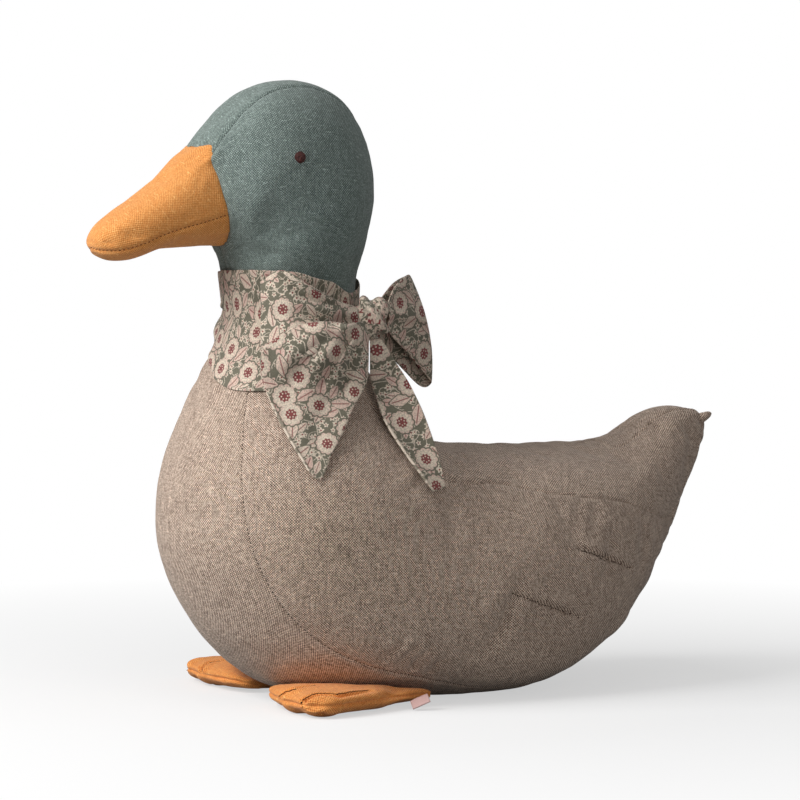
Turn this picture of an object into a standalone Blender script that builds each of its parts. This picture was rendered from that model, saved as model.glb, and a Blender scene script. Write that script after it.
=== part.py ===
"""A stuffed linen duck with a scarf tied in a bow, built panel by panel as it is sewn.

The duck faces -Y, its left side is +X, and it sits on its flattened belly at Z = 0.
Lengths are in metres. Each stuffed form is a tube of rings along a bent line: the body
from the neck to the tail, the head from the neck to the beak, the beak and the feet.
The forms are guides. The cloth panels are cut from them along the seams and given
their thickness outwards, and the filling is the same form drawn in by a small gap.
"""

import math

import bmesh
import bpy
import numpy as np
from mathutils import Matrix, Vector
from mathutils.bvhtree import BVHTree

# Cloth and the gaps between pieces
linen = 0.0008
scarf_cloth = 0.0012
seam_gap = 0.0006
filling_gap = 0.0004
drape_gap = 0.0009
drape_reach = 0.0035
band_gap = 0.0014
knot_gap = 0.0006

# Body
body_length = 0.342
back_height = 0.139
body_width = 0.176

# Neck seam
neck_height = 0.218
neck_depth = 0.072
neck_width = 0.072
neck_ahead = 0.073

# Head, from the neck seam up
head_height = 0.129
head_depth = 0.097
head_width = 0.090
head_strip_width = 0.048
eye_width = 0.0062
eye_depth = 0.0026

# Beak
beak_length = 0.070
beak_base_height = 0.058
beak_width = 0.052
beak_seat_gap = 0.0009

# Feet
foot_length = 0.088
foot_width = 0.074
foot_thickness = 0.017
foot_spacing = 0.120
heel_ahead = 0.018
toe_in_deg = 3.0
foot_press_gap = 0.0010

# Ribbon label in the left foot's heel seam
label_width = 0.014
label_reach = 0.010
label_thickness = 0.0012
label_ahead = 0.016
label_droop_deg = 25.0

# Scarf
band_height = 0.066
bow_turn_deg = 25.0
knot_width = 0.018
knot_height = 0.023
knot_depth = 0.022
knot_under_seam = 0.003
knot_round_deg = 59.0
front_loop_length = 0.049
rear_loop_length = 0.048
loop_height = 0.056
loop_fullness = 0.010
tail_drop = 0.100

# Rings along the body, from the neck to the tail. Each row has the chest and belly
# line's place and height, the back line's place and height, the half width and how
# flat the underside is. Places are shares of the body's length from the origin,
# heights are shares of the back's height and widths of half the body's width.
body_ring_shares = (
    (-0.345, 1.410, -0.111, 1.432, 0.480, 1.00),
    (-0.400, 1.151, -0.082, 1.237, 0.680, 1.00),
    (-0.438, 0.849, -0.015, 1.065, 0.900, 1.00),
    (-0.436, 0.561, 0.058, 1.007, 0.990, 0.95),
    (-0.368, 0.259, 0.123, 1.000, 1.000, 0.75),
    (-0.262, 0.045, 0.175, 0.996, 1.000, 0.66),
    (-0.105, -0.004, 0.228, 0.993, 0.990, 0.58),
    (0.092, -0.034, 0.284, 0.993, 0.920, 0.45),
    (0.252, 0.068, 0.345, 0.993, 0.770, 0.55),
    (0.368, 0.272, 0.404, 1.036, 0.570, 0.70),
    (0.449, 0.550, 0.456, 1.122, 0.370, 0.80),
    (0.527, 0.887, 0.515, 1.129, 0.180, 0.90),
)
tail_tip_shares = (0.570, 1.095)
tail_gusset_first_ring = 9
side_panel_last_ring = 11
back_roundness_share = 0.85

# The seams round the body, as angles from its belly line. The gusset's edge keeps one
# angle, and so does the tail gusset's. The wing-top seam has one at the neck and at
# each ring, and it drops behind the wing until it meets the gusset. The columns
# between are shares of the way.
gusset_edge_deg = 45.0
tail_gusset_edge_deg = 160.0
wing_top_degs = (125.0, 125.0, 125.0, 122.0, 119.0, 131.0, 132.0, 129.0, 126.0, 118.0, 96.0, 64.0, 80.0)
side_column_shares = (0.366, 0.671)
back_column_share = 0.5

# Rings along the head, from the neck seam over the throat to the beak. Each row has
# the crown line's place and height, the throat line's place and height, the half
# width and the strip's half width. Places are shares of the head's depth from the
# neck's centre, heights are shares of the head's height above the neck seam, widths
# are shares of half the head's width and of half the strip's widest width.
head_ring_shares = (
    (0.371, 0.140, -0.397, 0.124, 0.820, 0.30),
    (0.455, 0.388, -0.404, 0.153, 0.935, 0.33),
    (0.465, 0.659, -0.411, 0.182, 1.000, 0.38),
    (0.278, 0.922, -0.421, 0.211, 1.000, 0.50),
    (-0.052, 1.000, -0.431, 0.240, 0.978, 0.67),
    (-0.351, 0.934, -0.441, 0.269, 0.889, 0.88),
)
head_column_degs = (0.0, 55.0, 92.0, 118.0, 148.0, 180.0)
strip_reach_share = 0.82
eye_place_shares = (-0.150, 0.672)
beak_base_shares = (-0.629, 0.721, -0.454, 0.298)
strip_front_share = 1.0

# Rings along the beak. Each row has the top line's place and height, the under
# line's place and height, and the half width. Places are shares of the beak's length
# from its base, heights of the base's height and widths of half the beak's width.
beak_ring_shares = (
    (0.214, 0.690, 0.229, 0.000, 0.980),
    (0.457, 0.457, 0.514, -0.034, 0.885),
    (0.671, 0.267, 0.771, -0.130, 0.770),
    (0.800, 0.147, 0.957, -0.138, 0.540),
)
beak_tip_shares = (0.864, -0.026)
beak_column_degs = (0.0, 40.0, 72.0, 110.0, 145.0, 180.0)
beak_squareness_share = 0.8

# Rings along a foot from the heel: place, half width and thickness
foot_ring_shares = (
    (0.02, 0.26, 0.42),
    (0.15, 0.38, 0.60),
    (0.35, 0.58, 0.88),
    (0.60, 0.80, 1.00),
    (0.82, 1.00, 0.95),
    (0.95, 0.86, 0.70),
)
foot_column_degs = (0.0, 38.0, 68.0, 90.0, 112.0, 142.0, 180.0)
foot_squareness_share = 0.6
foot_least_share = 0.2
label_height_share = 0.42
label_fold_share = 0.4

# The neckband's upper and lower edge round the neck, in steps of 30 degrees from the
# way the bow faces towards the duck's back. Shares of the band's height from the neck
# seam.
band_top_shares = (0.36, 0.28, 0.16, 0.20, 0.28, 0.32, 0.33, 0.33, 0.33, 0.34, 0.36, 0.37)
band_foot_shares = (-0.64, -0.45, -0.22, -0.26, -0.34, -0.36, -0.36, -0.36, -0.36, -0.38, -0.54, -0.65)
band_rows = 10
band_columns = 48

# The knot's pleats, their depth, their lean from top to bottom and its squareness
knot_pleats = 4
knot_pleat_share = 0.035
knot_pleat_lean_deg = 240.0
knot_squareness_share = 0.85

# The loop in front of the neck, from the knot to its fold. Each row has the place
# along it, the upper and the lower edge's height and how far its two layers stand
# apart. Shares of its length, the loops' height and their fullness.
front_loop_shares = (
    (0.00, 0.150, -0.150, 0.40),
    (0.11, 0.150, -0.200, 0.50),
    (0.22, 0.210, -0.260, 0.70),
    (0.38, 0.284, -0.330, 0.95),
    (0.61, 0.414, -0.380, 1.00),
    (0.75, 0.484, -0.400, 0.90),
    (0.88, 0.484, -0.380, 0.65),
    (1.00, 0.386, -0.280, 0.18),
)

# The loop behind the neck, rib by rib from the knot out along its near layer, round the
# fold and back along its far layer. Each rib has its upper end, its lower end, both as
# places across the bow, towards its front and upwards, and how far the rib bows out.
# Shares of the loop's length.
rear_loop_shares = (
    ((0.180, -0.020, 0.150), (0.180, -0.020, -0.080), 0.000),
    ((0.265, -0.190, 0.350), (0.310, -0.210, -0.270), 0.025),
    ((0.370, -0.375, 0.460), (0.500, -0.430, -0.520), 0.055),
    ((0.430, -0.520, 0.490), (0.670, -0.630, -0.740), 0.085),
    ((0.440, -0.590, 0.480), (0.700, -0.705, -0.810), 0.095),
    ((0.385, -0.620, 0.465), (0.600, -0.740, -0.850), 0.085),
    ((0.250, -0.440, 0.380), (0.370, -0.500, -0.600), 0.045),
    ((0.080, -0.170, 0.150), (0.100, -0.170, -0.140), 0.000),
)

# The tails' two edges, as places across the bow and heights from the knot's centre.
# Shares of the tails' drop.
front_tail_shares = (
    ((-0.095, -0.040), (-0.010, -0.125)),
    ((-0.200, -0.010), (-0.008, -0.190)),
    ((-0.340, -0.015), (-0.008, -0.265)),
    ((-0.480, -0.070), (-0.012, -0.340)),
    ((-0.580, -0.150), (-0.040, -0.400)),
    ((-0.600, -0.250), (-0.080, -0.468)),
    ((-0.575, -0.370), (-0.115, -0.550)),
    ((-0.520, -0.490), (-0.155, -0.640)),
    ((-0.450, -0.620), (-0.200, -0.720)),
    ((-0.375, -0.740), (-0.230, -0.800)),
    ((-0.300, -0.850), (-0.260, -0.860)),
)
rear_tail_shares = (
    ((0.014, -0.122), (0.066, -0.110)),
    ((0.014, -0.240), (0.136, -0.232)),
    ((0.016, -0.345), (0.208, -0.342)),
    ((0.030, -0.430), (0.252, -0.425)),
    ((0.064, -0.533), (0.296, -0.518)),
    ((0.164, -0.696), (0.345, -0.650)),
    ((0.262, -0.831), (0.390, -0.790)),
    ((0.345, -0.945), (0.415, -0.925)),
)
loop_back_share = -0.125
front_loop_rows = 12
rear_loop_ribs = 22
loop_columns = 9
loop_smoothings = 12
tail_rows = 26
tail_columns = 13
tail_smoothings = 25
tail_front_depth_shares = (0.07, 0.24)
tail_rear_depth_shares = (0.02, 0.20)

# The line that each tail lifts about, along its upper edge where the cloth folds over.
# Its place towards the bow's front and its height from the knot's centre, as shares
# of the tails' drop.
front_fold_shares = (0.20, 0.03)
rear_fold_shares = (0.05, -0.11)

# The steepest slant, as a share of square on, that a clearance is measured for
panel_slant_share = 0.5
drape_slant_share = 0.4

full_turn_deg = 360.0
half_turn = math.pi
up = Vector((0.0, 0.0, 1.0))


def clear_scene():
    for thing in list(bpy.data.objects):
        bpy.data.objects.remove(thing, do_unlink=True)


def new_collection(name):
    made = bpy.data.collections.new(name)
    bpy.context.scene.collection.children.link(made)
    return made


def new_material(name, colour, roughness):
    made = bpy.data.materials.new(name)
    made.use_nodes = True
    shader = made.node_tree.nodes["Principled BSDF"]
    shader.inputs["Base Color"].default_value = (*colour, 1.0)
    shader.inputs["Roughness"].default_value = roughness
    shader.inputs["Metallic"].default_value = 0.0
    made.diffuse_color = (*colour, 1.0)
    return made


def new_object(name, mesh, collection, material=None):
    made = bpy.data.objects.new(name, mesh)
    collection.objects.link(made)
    if material is not None:
        mesh.materials.clear()
        mesh.materials.append(material)
    return made


def mesh_of(obj):
    """The object's mesh with its modifiers carried out, as a mesh of its own."""
    bpy.context.view_layer.update()
    graph = bpy.context.evaluated_depsgraph_get()
    return bpy.data.meshes.new_from_object(obj.evaluated_get(graph))


def tree_of(*meshes):
    """A search tree over the faces of the meshes, for laying one piece on others."""
    joined = bmesh.new()
    for mesh in meshes:
        joined.from_mesh(mesh)
    tree = BVHTree.FromBMesh(joined)
    joined.free()
    return tree


def between(table, place):
    """A smooth value between the entries of a table that closes on itself."""
    count = len(table)
    first = math.floor(place)
    step = place - first
    eased = (1.0 - math.cos(half_turn * step)) / 2.0
    return table[first % count] * (1.0 - eased) + table[(first + 1) % count] * eased


# Forms: cages of rings, whose once-divided surface passes through the rings' points


def cage_rows(points):
    """Cage rows along the tube, so that the divided rows pass through the points."""
    count = len(points)
    weights = np.eye(count)
    for row in range(1, count - 1):
        weights[row, row - 1 : row + 2] = (1 / 8, 6 / 8, 1 / 8)
    return np.linalg.solve(weights, points.reshape(count, -1)).reshape(points.shape)


def cage_columns(points):
    """The same round the ring, from a half ring whose other half is its mirror image."""
    mirrored = points[:, -2:0:-1] * (-1.0, 1.0, 1.0)
    rings = np.concatenate((points, mirrored), axis=1)
    count = rings.shape[1]
    weights = np.zeros((count, count))
    for column in range(count):
        weights[column, column] = 6 / 8
        weights[column, column - 1] = 1 / 8
        weights[column, (column + 1) % count] = 1 / 8
    solved = np.linalg.solve(weights, rings.transpose(1, 0, 2).reshape(count, -1))
    solved = solved.reshape(count, len(points), 3).transpose(1, 0, 2)
    return solved[:, : points.shape[1]]


def half_ring(outer, inner, half_width, angles, outer_share=1.0, inner_share=1.0):
    """Half a ring from its outer line to its inner line, in the plane through both."""
    middle = (outer + inner) / 2.0
    reach = (outer - inner) / 2.0
    ring = []
    for angle in angles:
        along = math.cos(math.radians(angle))
        across = math.sin(math.radians(angle))
        power = outer_share if along > 0.0 else inner_share
        along = math.copysign(abs(along) ** power, along)
        ring.append(middle + reach * along + Vector((half_width * across, 0.0, 0.0)))
    ring[0].x = 0.0
    ring[-1].x = 0.0
    return ring


def tube_form(name, rings, tip, slots):
    """A guide from half rings, closed by a tip point where one is given.

    slots holds the panel's number for each strip of faces between two columns.
    """
    points = np.array([[tuple(point) for point in ring] for ring in rings])
    points = cage_columns(cage_rows(points))
    rows, columns = points.shape[:2]
    built = bmesh.new()
    grid = [[built.verts.new(point) for point in row] for row in points]
    for row in range(rows - 1):
        for column in range(columns - 1):
            corners = (
                grid[row][column],
                grid[row][column + 1],
                grid[row + 1][column + 1],
                grid[row + 1][column],
            )
            face = built.faces.new(corners)
            face.material_index = slots(row, column)
    if tip is not None:
        end = built.verts.new(tip)
        for column in range(columns - 1):
            face = built.faces.new((grid[-1][column], grid[-1][column + 1], end))
            face.material_index = slots(rows - 1, column)
    for row in grid:
        row[0].co.x = 0.0
        row[-1].co.x = 0.0
    mesh = bpy.data.meshes.new(name)
    built.to_mesh(mesh)
    built.free()
    for _ in range(4):
        mesh.materials.append(None)
    guide = new_object(name, mesh, guides)
    mirror = guide.modifiers.new("mirror", "MIRROR")
    mirror.merge_threshold = 0.0001
    smooth = guide.modifiers.new("round", "SUBSURF")
    smooth.levels = 1
    smooth.render_levels = 1
    guide.hide_render = True
    guide.display_type = "WIRE"
    return guide


def outward(mesh):
    """Turns the faces of a closed or capped form so that they point out of it."""
    built = bmesh.new()
    built.from_mesh(mesh)
    bmesh.ops.triangulate(built, faces=built.faces)
    bmesh.ops.recalc_face_normals(built, faces=built.faces)
    built.to_mesh(mesh)
    built.free()
    return mesh


def draw_back(built, distance):
    """Moves each open edge of a surface back into the surface by the distance."""
    moves = {}
    for edge in built.edges:
        if not edge.is_boundary:
            continue
        face = edge.link_faces[0]
        along = (edge.verts[1].co - edge.verts[0].co).normalized()
        inward = face.normal.cross(along)
        if inward.dot(face.calc_center_median() - edge.verts[0].co) < 0.0:
            inward.negate()
        for vert in edge.verts:
            moves.setdefault(vert, []).append(inward)
    for vert, directions in moves.items():
        total = sum(directions, Vector()).normalized()
        lean = max(panel_slant_share, total.dot(directions[0]))
        vert.co += total * distance / lean


def panel(name, skin, slot, side, material, thickness):
    """One cloth panel: a numbered part of a form, with its thickness outwards."""
    built = bmesh.new()
    built.from_mesh(skin)
    others = []
    for face in built.faces:
        here = face.calc_center_median().x * side
        if face.material_index != slot or here < 0.0:
            others.append(face)
    bmesh.ops.delete(built, geom=others, context="FACES")
    built.normal_update()
    draw_back(built, seam_gap / 2.0)
    for face in built.faces:
        face.material_index = 0
    mesh = bpy.data.meshes.new(name)
    built.to_mesh(mesh)
    built.free()
    made = new_object(name, mesh, duck, material)
    wall = made.modifiers.new("cloth", "SOLIDIFY")
    wall.thickness = thickness
    wall.offset = 1.0
    mesh.shade_smooth()
    return made


def filling(name, skin, material):
    """The stuffing inside a form: the form drawn in by the gap, with its ends closed."""
    built = bmesh.new()
    built.from_mesh(skin)
    built.normal_update()
    normals = {vert: vert.normal.copy() for vert in built.verts}
    draw_back(built, filling_gap / 2.0)
    for vert, normal in normals.items():
        vert.co -= normal * filling_gap
    open_edges = [edge for edge in built.edges if edge.is_boundary]
    if open_edges:
        bmesh.ops.holes_fill(built, edges=open_edges)
    bmesh.ops.triangulate(built, faces=built.faces)
    bmesh.ops.recalc_face_normals(built, faces=built.faces)
    for face in built.faces:
        face.material_index = 0
    mesh = bpy.data.meshes.new(name)
    built.to_mesh(mesh)
    built.free()
    made = new_object(name, mesh, duck, material)
    mesh.shade_smooth()
    return made


# The body


def neck_centre():
    return Vector((0.0, -neck_ahead, neck_height))


def body_angles(wing_top):
    """The angles of a ring's columns, from the belly line to the back line."""
    side = wing_top - gusset_edge_deg
    columns = [gusset_edge_deg + side * share for share in side_column_shares]
    above = wing_top + (tail_gusset_edge_deg - wing_top) * back_column_share
    return [0.0, gusset_edge_deg, *columns, wing_top, above, tail_gusset_edge_deg, full_turn_deg / 2.0]


def neck_ring(angles):
    centre = neck_centre()
    front = centre - Vector((0.0, neck_depth / 2.0, 0.0))
    back = centre + Vector((0.0, neck_depth / 2.0, 0.0))
    return half_ring(front, back, neck_width / 2.0, angles)


def body_form():
    rings = [neck_ring(body_angles(wing_top_degs[0]))]
    for row, wing_top in zip(body_ring_shares, wing_top_degs[1:]):
        belly_y, belly_z, back_y, back_z, width, flatness = row
        belly = Vector((0.0, body_length * belly_y, back_height * belly_z))
        back = Vector((0.0, body_length * back_y, back_height * back_z))
        half_width = body_width / 2.0 * width
        rings.append(half_ring(belly, back, half_width, body_angles(wing_top), flatness, back_roundness_share))
    tip = Vector((0.0, body_length * tail_tip_shares[0], back_height * tail_tip_shares[1]))

    def slots(row, column):
        if column == 0:
            return 0
        if column <= 3 and row < side_panel_last_ring:
            return 1
        return 3 if column == 6 and row >= tail_gusset_first_ring else 2

    return tube_form("body_form", rings, tip, slots)


def press_flat(mesh, height):
    """Flattens the form where it would reach under the height, as it sits."""
    for vert in mesh.vertices:
        vert.co.z = max(vert.co.z, height)
    return mesh


def build_body():
    skin = outward(press_flat(mesh_of(body_form()), linen))
    taupe = {}
    for name in ("chest_belly_gusset", "side_panel", "back_panel", "tail_gusset"):
        taupe[name] = new_material(name, (0.262, 0.193, 0.152), 0.9)
    panel("chest_belly_gusset", skin, 0, 0, taupe["chest_belly_gusset"], linen)
    for side, word in ((1, "left"), (-1, "right")):
        panel(f"{word}_side_panel", skin, 1, side, taupe["side_panel"], linen)
        panel(f"{word}_back_panel", skin, 2, side, taupe["back_panel"], linen)
    panel("tail_gusset", skin, 3, 0, taupe["tail_gusset"], linen)
    filling("body_filling", skin, fibre)
    return skin


# The head


def head_point(place, height):
    centre = neck_centre()
    return Vector((0.0, centre.y + head_depth * place, centre.z + head_height * height))


def head_angles(half_width, strip_share):
    """The columns of a head ring, with the first at the strip's edge."""
    reach = min(strip_reach_share, head_strip_width / 2.0 * strip_share / half_width)
    return (0.0, math.degrees(math.asin(reach)), *head_column_degs[1:])


def beak_base():
    crown_y, crown_z, throat_y, throat_z = beak_base_shares
    top = head_point(crown_y, crown_z)
    low = head_point(throat_y, throat_z)
    middle = (top + low) / 2.0
    reach = (top - low).normalized() * beak_base_height / 2.0
    return middle + reach, middle - reach


def head_form():
    centre = neck_centre()
    back = centre + Vector((0.0, neck_depth / 2.0, 0.0))
    front = centre - Vector((0.0, neck_depth / 2.0, 0.0))
    first_strip = head_ring_shares[0][5]
    rings = [half_ring(back, front, neck_width / 2.0, head_angles(neck_width / 2.0, first_strip))]
    for crown_y, crown_z, throat_y, throat_z, width, strip in head_ring_shares:
        crown = head_point(crown_y, crown_z)
        throat = head_point(throat_y, throat_z)
        half_width = head_width / 2.0 * width
        rings.append(half_ring(crown, throat, half_width, head_angles(half_width, strip)))
    top, low = beak_base()
    angles = head_angles(beak_width / 2.0, strip_front_share)
    rings.append(half_ring(top, low, beak_width / 2.0, angles, beak_squareness_share, beak_squareness_share))
    return tube_form("head_form", rings, None, lambda row, column: 0 if column == 0 else 1)


def build_eye(name, side, skin_tree, material):
    """A knot of thread, domed outwards on the head's side."""
    place = head_point(*eye_place_shares)
    start = place + Vector((side * head_width, 0.0, 0.0))
    spot, normal, _, _ = skin_tree.ray_cast(start, Vector((-side, 0.0, 0.0)))
    if normal.x * side < 0.0:
        normal.negate()
    built = bmesh.new()
    bmesh.ops.create_uvsphere(built, u_segments=12, v_segments=8, radius=0.5)
    bmesh.ops.scale(built, vec=(eye_width, eye_width, eye_depth), verts=built.verts)
    turn = normal.to_track_quat("Z", "Y").to_matrix().to_4x4()
    lift = linen + filling_gap + eye_depth / 2.0
    bmesh.ops.transform(built, matrix=Matrix.Translation(spot + normal * lift) @ turn, verts=built.verts)
    mesh = bpy.data.meshes.new(name)
    built.to_mesh(mesh)
    built.free()
    mesh.shade_smooth()
    return new_object(name, mesh, duck, material)


def build_head():
    skin = outward(mesh_of(head_form()))
    teal = new_material("head_linen", (0.098, 0.165, 0.139), 0.9)
    panel("head_gusset", skin, 0, 0, teal, linen)
    panel("left_head_panel", skin, 1, 1, teal, linen)
    panel("right_head_panel", skin, 1, -1, teal, linen)
    filling("head_filling", skin, fibre)
    thread = new_material("eye_thread", (0.060, 0.015, 0.010), 0.6)
    tree = tree_of(skin)
    build_eye("left_eye", 1, tree, thread)
    build_eye("right_eye", -1, tree, thread)
    return skin


# The beak


def beak_form():
    top, low = beak_base()
    upright = (top - low).normalized()
    seat = Vector((0.0, -upright.z, upright.y)) * beak_seat_gap
    top += seat
    low += seat
    corner = beak_squareness_share
    rings = [half_ring(top, low, beak_width / 2.0, beak_column_degs, corner, corner)]

    def beak_point(start, place, height):
        return Vector((0.0, start.y - beak_length * place, low.z + beak_base_height * height))

    for top_place, top_height, low_place, low_height, width in beak_ring_shares:
        crown = beak_point(top, top_place, top_height)
        under = beak_point(low, low_place, low_height)
        half_width = beak_width / 2.0 * width
        rings.append(half_ring(crown, under, half_width, beak_column_degs, corner, corner))
    tip = beak_point(top, *beak_tip_shares)
    return tube_form("beak_form", rings, tip, lambda row, column: 0 if column < 3 else 1)


def build_beak():
    skin = outward(mesh_of(beak_form()))
    orange = new_material("beak_linen", (0.680, 0.300, 0.075), 0.85)
    panel("upper_beak_panel", skin, 0, 0, orange, linen)
    panel("lower_beak_panel", skin, 1, 0, orange, linen)
    filling("beak_filling", skin, fibre)


# The feet


def foot_form():
    """The left foot about its own middle line, with its heel at the origin."""
    rings = []
    for place, width, thickness in foot_ring_shares:
        half = foot_thickness / 2.0 * thickness
        middle = Vector((0.0, -foot_length * place, 0.0))
        top = middle + up * half
        low = middle - up * half
        corner = foot_squareness_share
        rings.append(half_ring(top, low, foot_width / 2.0 * width, foot_column_degs, corner, corner))
    tip = Vector((0.0, -foot_length, 0.0))
    return tube_form("foot_form", rings, tip, lambda row, column: 0 if column < 3 else 1)


def press_foot(mesh, body_tree):
    """Lays the foot on the ground and lets the belly press on it from above."""
    for vert in mesh.vertices:
        vert.co.z = max(vert.co.z, linen)
        ground = Vector((vert.co.x, vert.co.y, -back_height))
        spot, _, _, _ = body_tree.ray_cast(ground, up)
        if spot is not None:
            room = spot.z - 2.0 * linen - foot_press_gap
            share = room / foot_thickness
            vert.co.z = linen + (vert.co.z - linen) * max(foot_least_share, min(1.0, share))
    return mesh


def build_feet(body_skin):
    """Both feet, and the left foot's skin for the label."""
    orange = new_material("foot_linen", (0.560, 0.200, 0.035), 0.85)
    body_tree = tree_of(body_skin)
    flat = mesh_of(foot_form())
    left = Matrix.Translation((foot_spacing / 2.0, -heel_ahead, foot_thickness / 2.0))
    left = left @ Matrix.Rotation(math.radians(-toe_in_deg), 4, "Z")
    skins = []
    for side, word in ((1, "left"), (-1, "right")):
        skin = flat.copy()
        skin.transform(Matrix.Diagonal((side, 1.0, 1.0, 1.0)) @ left)
        outward(press_foot(skin, body_tree))
        pieces = [
            panel(f"{word}_foot_top", skin, 0, 0, orange, linen),
            panel(f"{word}_foot_sole", skin, 1, 0, orange, linen),
            filling(f"{word}_foot_filling", skin, fibre),
        ]
        hang(pieces, Vector((side * foot_spacing / 2.0, -heel_ahead, foot_thickness / 2.0)))
        skins.append(skin)
    return skins[0]


def hang(pieces, pivot):
    """Moves the pieces' origins to the point they turn about."""
    for piece in pieces:
        piece.data.transform(Matrix.Translation(-pivot))
        piece.location = pivot


def build_label(foot_skin):
    """A folded ribbon sewn into the heel's outer seam, lying out over the ground."""
    tree = tree_of(foot_skin)
    ends = []
    for along in (0.0, label_width):
        outer = (foot_spacing + foot_width) / 2.0
        beside = Vector((outer, along - heel_ahead - label_ahead, foot_thickness * label_height_share))
        spot, _, _, _ = tree.find_nearest(beside)
        ends.append(spot)
    run = (ends[1] - ends[0]).normalized()
    out = run.cross(up)
    out = Matrix.Rotation(math.radians(label_droop_deg), 3, run) @ out
    built = bmesh.new()
    bmesh.ops.create_cube(built, size=1.0)
    bmesh.ops.scale(built, vec=(label_reach, label_width, label_thickness), verts=built.verts)
    fold = [edge for edge in built.edges if min(vert.co.x for vert in edge.verts) > 0.0]
    fold = [edge for edge in fold if abs(edge.verts[0].co.z - edge.verts[1].co.z) < label_thickness / 2.0]
    bmesh.ops.bevel(built, geom=fold, offset=label_thickness * label_fold_share, segments=2, affect="EDGES")
    turn = Matrix((out, run, out.cross(run))).transposed().to_4x4()
    middle = (ends[0] + ends[1]) / 2.0 + out * (label_reach / 2.0 + linen + knot_gap)
    bmesh.ops.transform(built, matrix=Matrix.Translation(middle) @ turn, verts=built.verts)
    mesh = bpy.data.meshes.new("foot_label")
    built.to_mesh(mesh)
    built.free()
    pink = new_material("label_ribbon", (0.720, 0.460, 0.440), 0.7)
    hang([new_object("foot_label", mesh, duck, pink)], Vector((foot_spacing / 2.0, -heel_ahead, foot_thickness / 2.0)))


# The scarf


def bow_axes():
    """The way the bow faces and the way across it, both level."""
    turn = math.radians(bow_turn_deg)
    facing = Vector((math.cos(turn), -math.sin(turn), 0.0))
    return facing, up.cross(facing)


def round_neck(degrees):
    """A level direction from the neck's middle, counted from the way the bow faces."""
    facing, _ = bow_axes()
    return Matrix.Rotation(math.radians(degrees), 3, "Z") @ facing


def knot_centre():
    off_neck = neck_width / 2.0 + linen + band_gap + scarf_cloth + knot_gap + knot_depth / 2.0
    return neck_centre() - up * knot_under_seam + round_neck(knot_round_deg) * off_neck


def bow_point(across_by, facing_by, up_by):
    facing, across = bow_axes()
    return knot_centre() + across * across_by + facing * facing_by + up * up_by


def resampled(rows, count):
    """The rows of a table with others laid smoothly between them, count in all."""
    rows = np.array(rows, dtype=float)
    last = len(rows) - 1
    made = []
    for place in np.linspace(0.0, last, count):
        first = min(int(place), last - 1)
        step = place - first
        before = rows[max(first - 1, 0)]
        start = rows[first]
        end = rows[first + 1]
        after = rows[min(first + 2, last)]
        rise = (end - before) * step
        bend = (2.0 * before - 5.0 * start + 4.0 * end - after) * step**2
        swing = (3.0 * start - before - 3.0 * end + after) * step**3
        made.append((2.0 * start + rise + bend + swing) / 2.0)
    return np.array(made)


def sheet(name, rows, outwards, closed, material):
    """Scarf cloth laid through rows of points and thickened to its outer side.

    outwards is a direction the first faces look in, and closed joins the row ends.
    """
    built = bmesh.new()
    grid = [[built.verts.new(point) for point in row] for row in rows]
    count = len(grid[0])
    for row in range(len(grid) - 1):
        for column in range(count if closed else count - 1):
            beside = (column + 1) % count
            corners = (grid[row][column], grid[row][beside], grid[row + 1][beside], grid[row + 1][column])
            built.faces.new(corners)
    built.normal_update()
    built.faces.ensure_lookup_table()
    if built.faces[0].normal.dot(outwards) < 0.0:
        bmesh.ops.reverse_faces(built, faces=built.faces)
    bmesh.ops.triangulate(built, faces=built.faces)
    mesh = bpy.data.meshes.new(name)
    built.to_mesh(mesh)
    built.free()
    made = new_object(name, mesh, duck, material)
    wall = made.modifiers.new("cloth", "SOLIDIFY")
    wall.thickness = scarf_cloth
    wall.offset = 1.0
    mesh.shade_smooth()
    return made


def build_neckband(skins, material):
    """The scarf's turn round the neck, laid on the head's and the body's linen."""
    tree = tree_of(*skins)
    rows = []
    for row in range(band_rows):
        points = []
        for column in range(band_columns):
            turn = column / band_columns
            out = round_neck(full_turn_deg * turn)
            top = between(band_top_shares, turn * len(band_top_shares))
            foot = between(band_foot_shares, turn * len(band_foot_shares))
            height = band_height * (top + (foot - top) * row / (band_rows - 1))
            start = neck_centre() + up * height + out * neck_height
            spot, normal, _, _ = tree.ray_cast(start, -out)
            lean = max(panel_slant_share, abs(normal.dot(out)))
            points.append(spot + out * (linen + band_gap) / lean)
        rows.append(points)
    return sheet("neckband", rows, round_neck(0.0), True, material)


def build_knot(material):
    """A rounded knot with soft pleats that lean across it."""
    built = bmesh.new()
    bmesh.ops.create_uvsphere(built, u_segments=24, v_segments=14, radius=0.5)
    for vert in built.verts:
        degrees = math.degrees(math.atan2(vert.co.y, vert.co.x))
        phase = math.radians(knot_pleats * degrees + knot_pleat_lean_deg * vert.co.z)
        pleat = 1.0 - knot_pleat_share * (1.0 - math.cos(phase))
        vert.co.x *= pleat
        vert.co.y *= pleat
        for axis in range(3):
            reach = abs(vert.co[axis]) * 2.0
            vert.co[axis] = math.copysign(reach**knot_squareness_share / 2.0, vert.co[axis])
    bmesh.ops.scale(built, vec=(knot_depth, knot_width, knot_height), verts=built.verts)
    out = round_neck(knot_round_deg)
    turn = Matrix((out, up.cross(out), up)).transposed().to_4x4()
    bmesh.ops.transform(built, matrix=Matrix.Translation(knot_centre()) @ turn, verts=built.verts)
    bmesh.ops.triangulate(built, faces=built.faces)
    mesh = bpy.data.meshes.new("bow_knot")
    built.to_mesh(mesh)
    built.free()
    mesh.shade_smooth()
    return new_object("bow_knot", mesh, duck, material)


def off_knot(point, knot_tree):
    """The point moved in line with the knot's middle until it just clears the knot."""
    out = (point - knot_centre()).normalized()
    spot, _, _, _ = knot_tree.ray_cast(knot_centre() + out * knot_height * 2.0, -out)
    return spot + out * knot_gap


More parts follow.
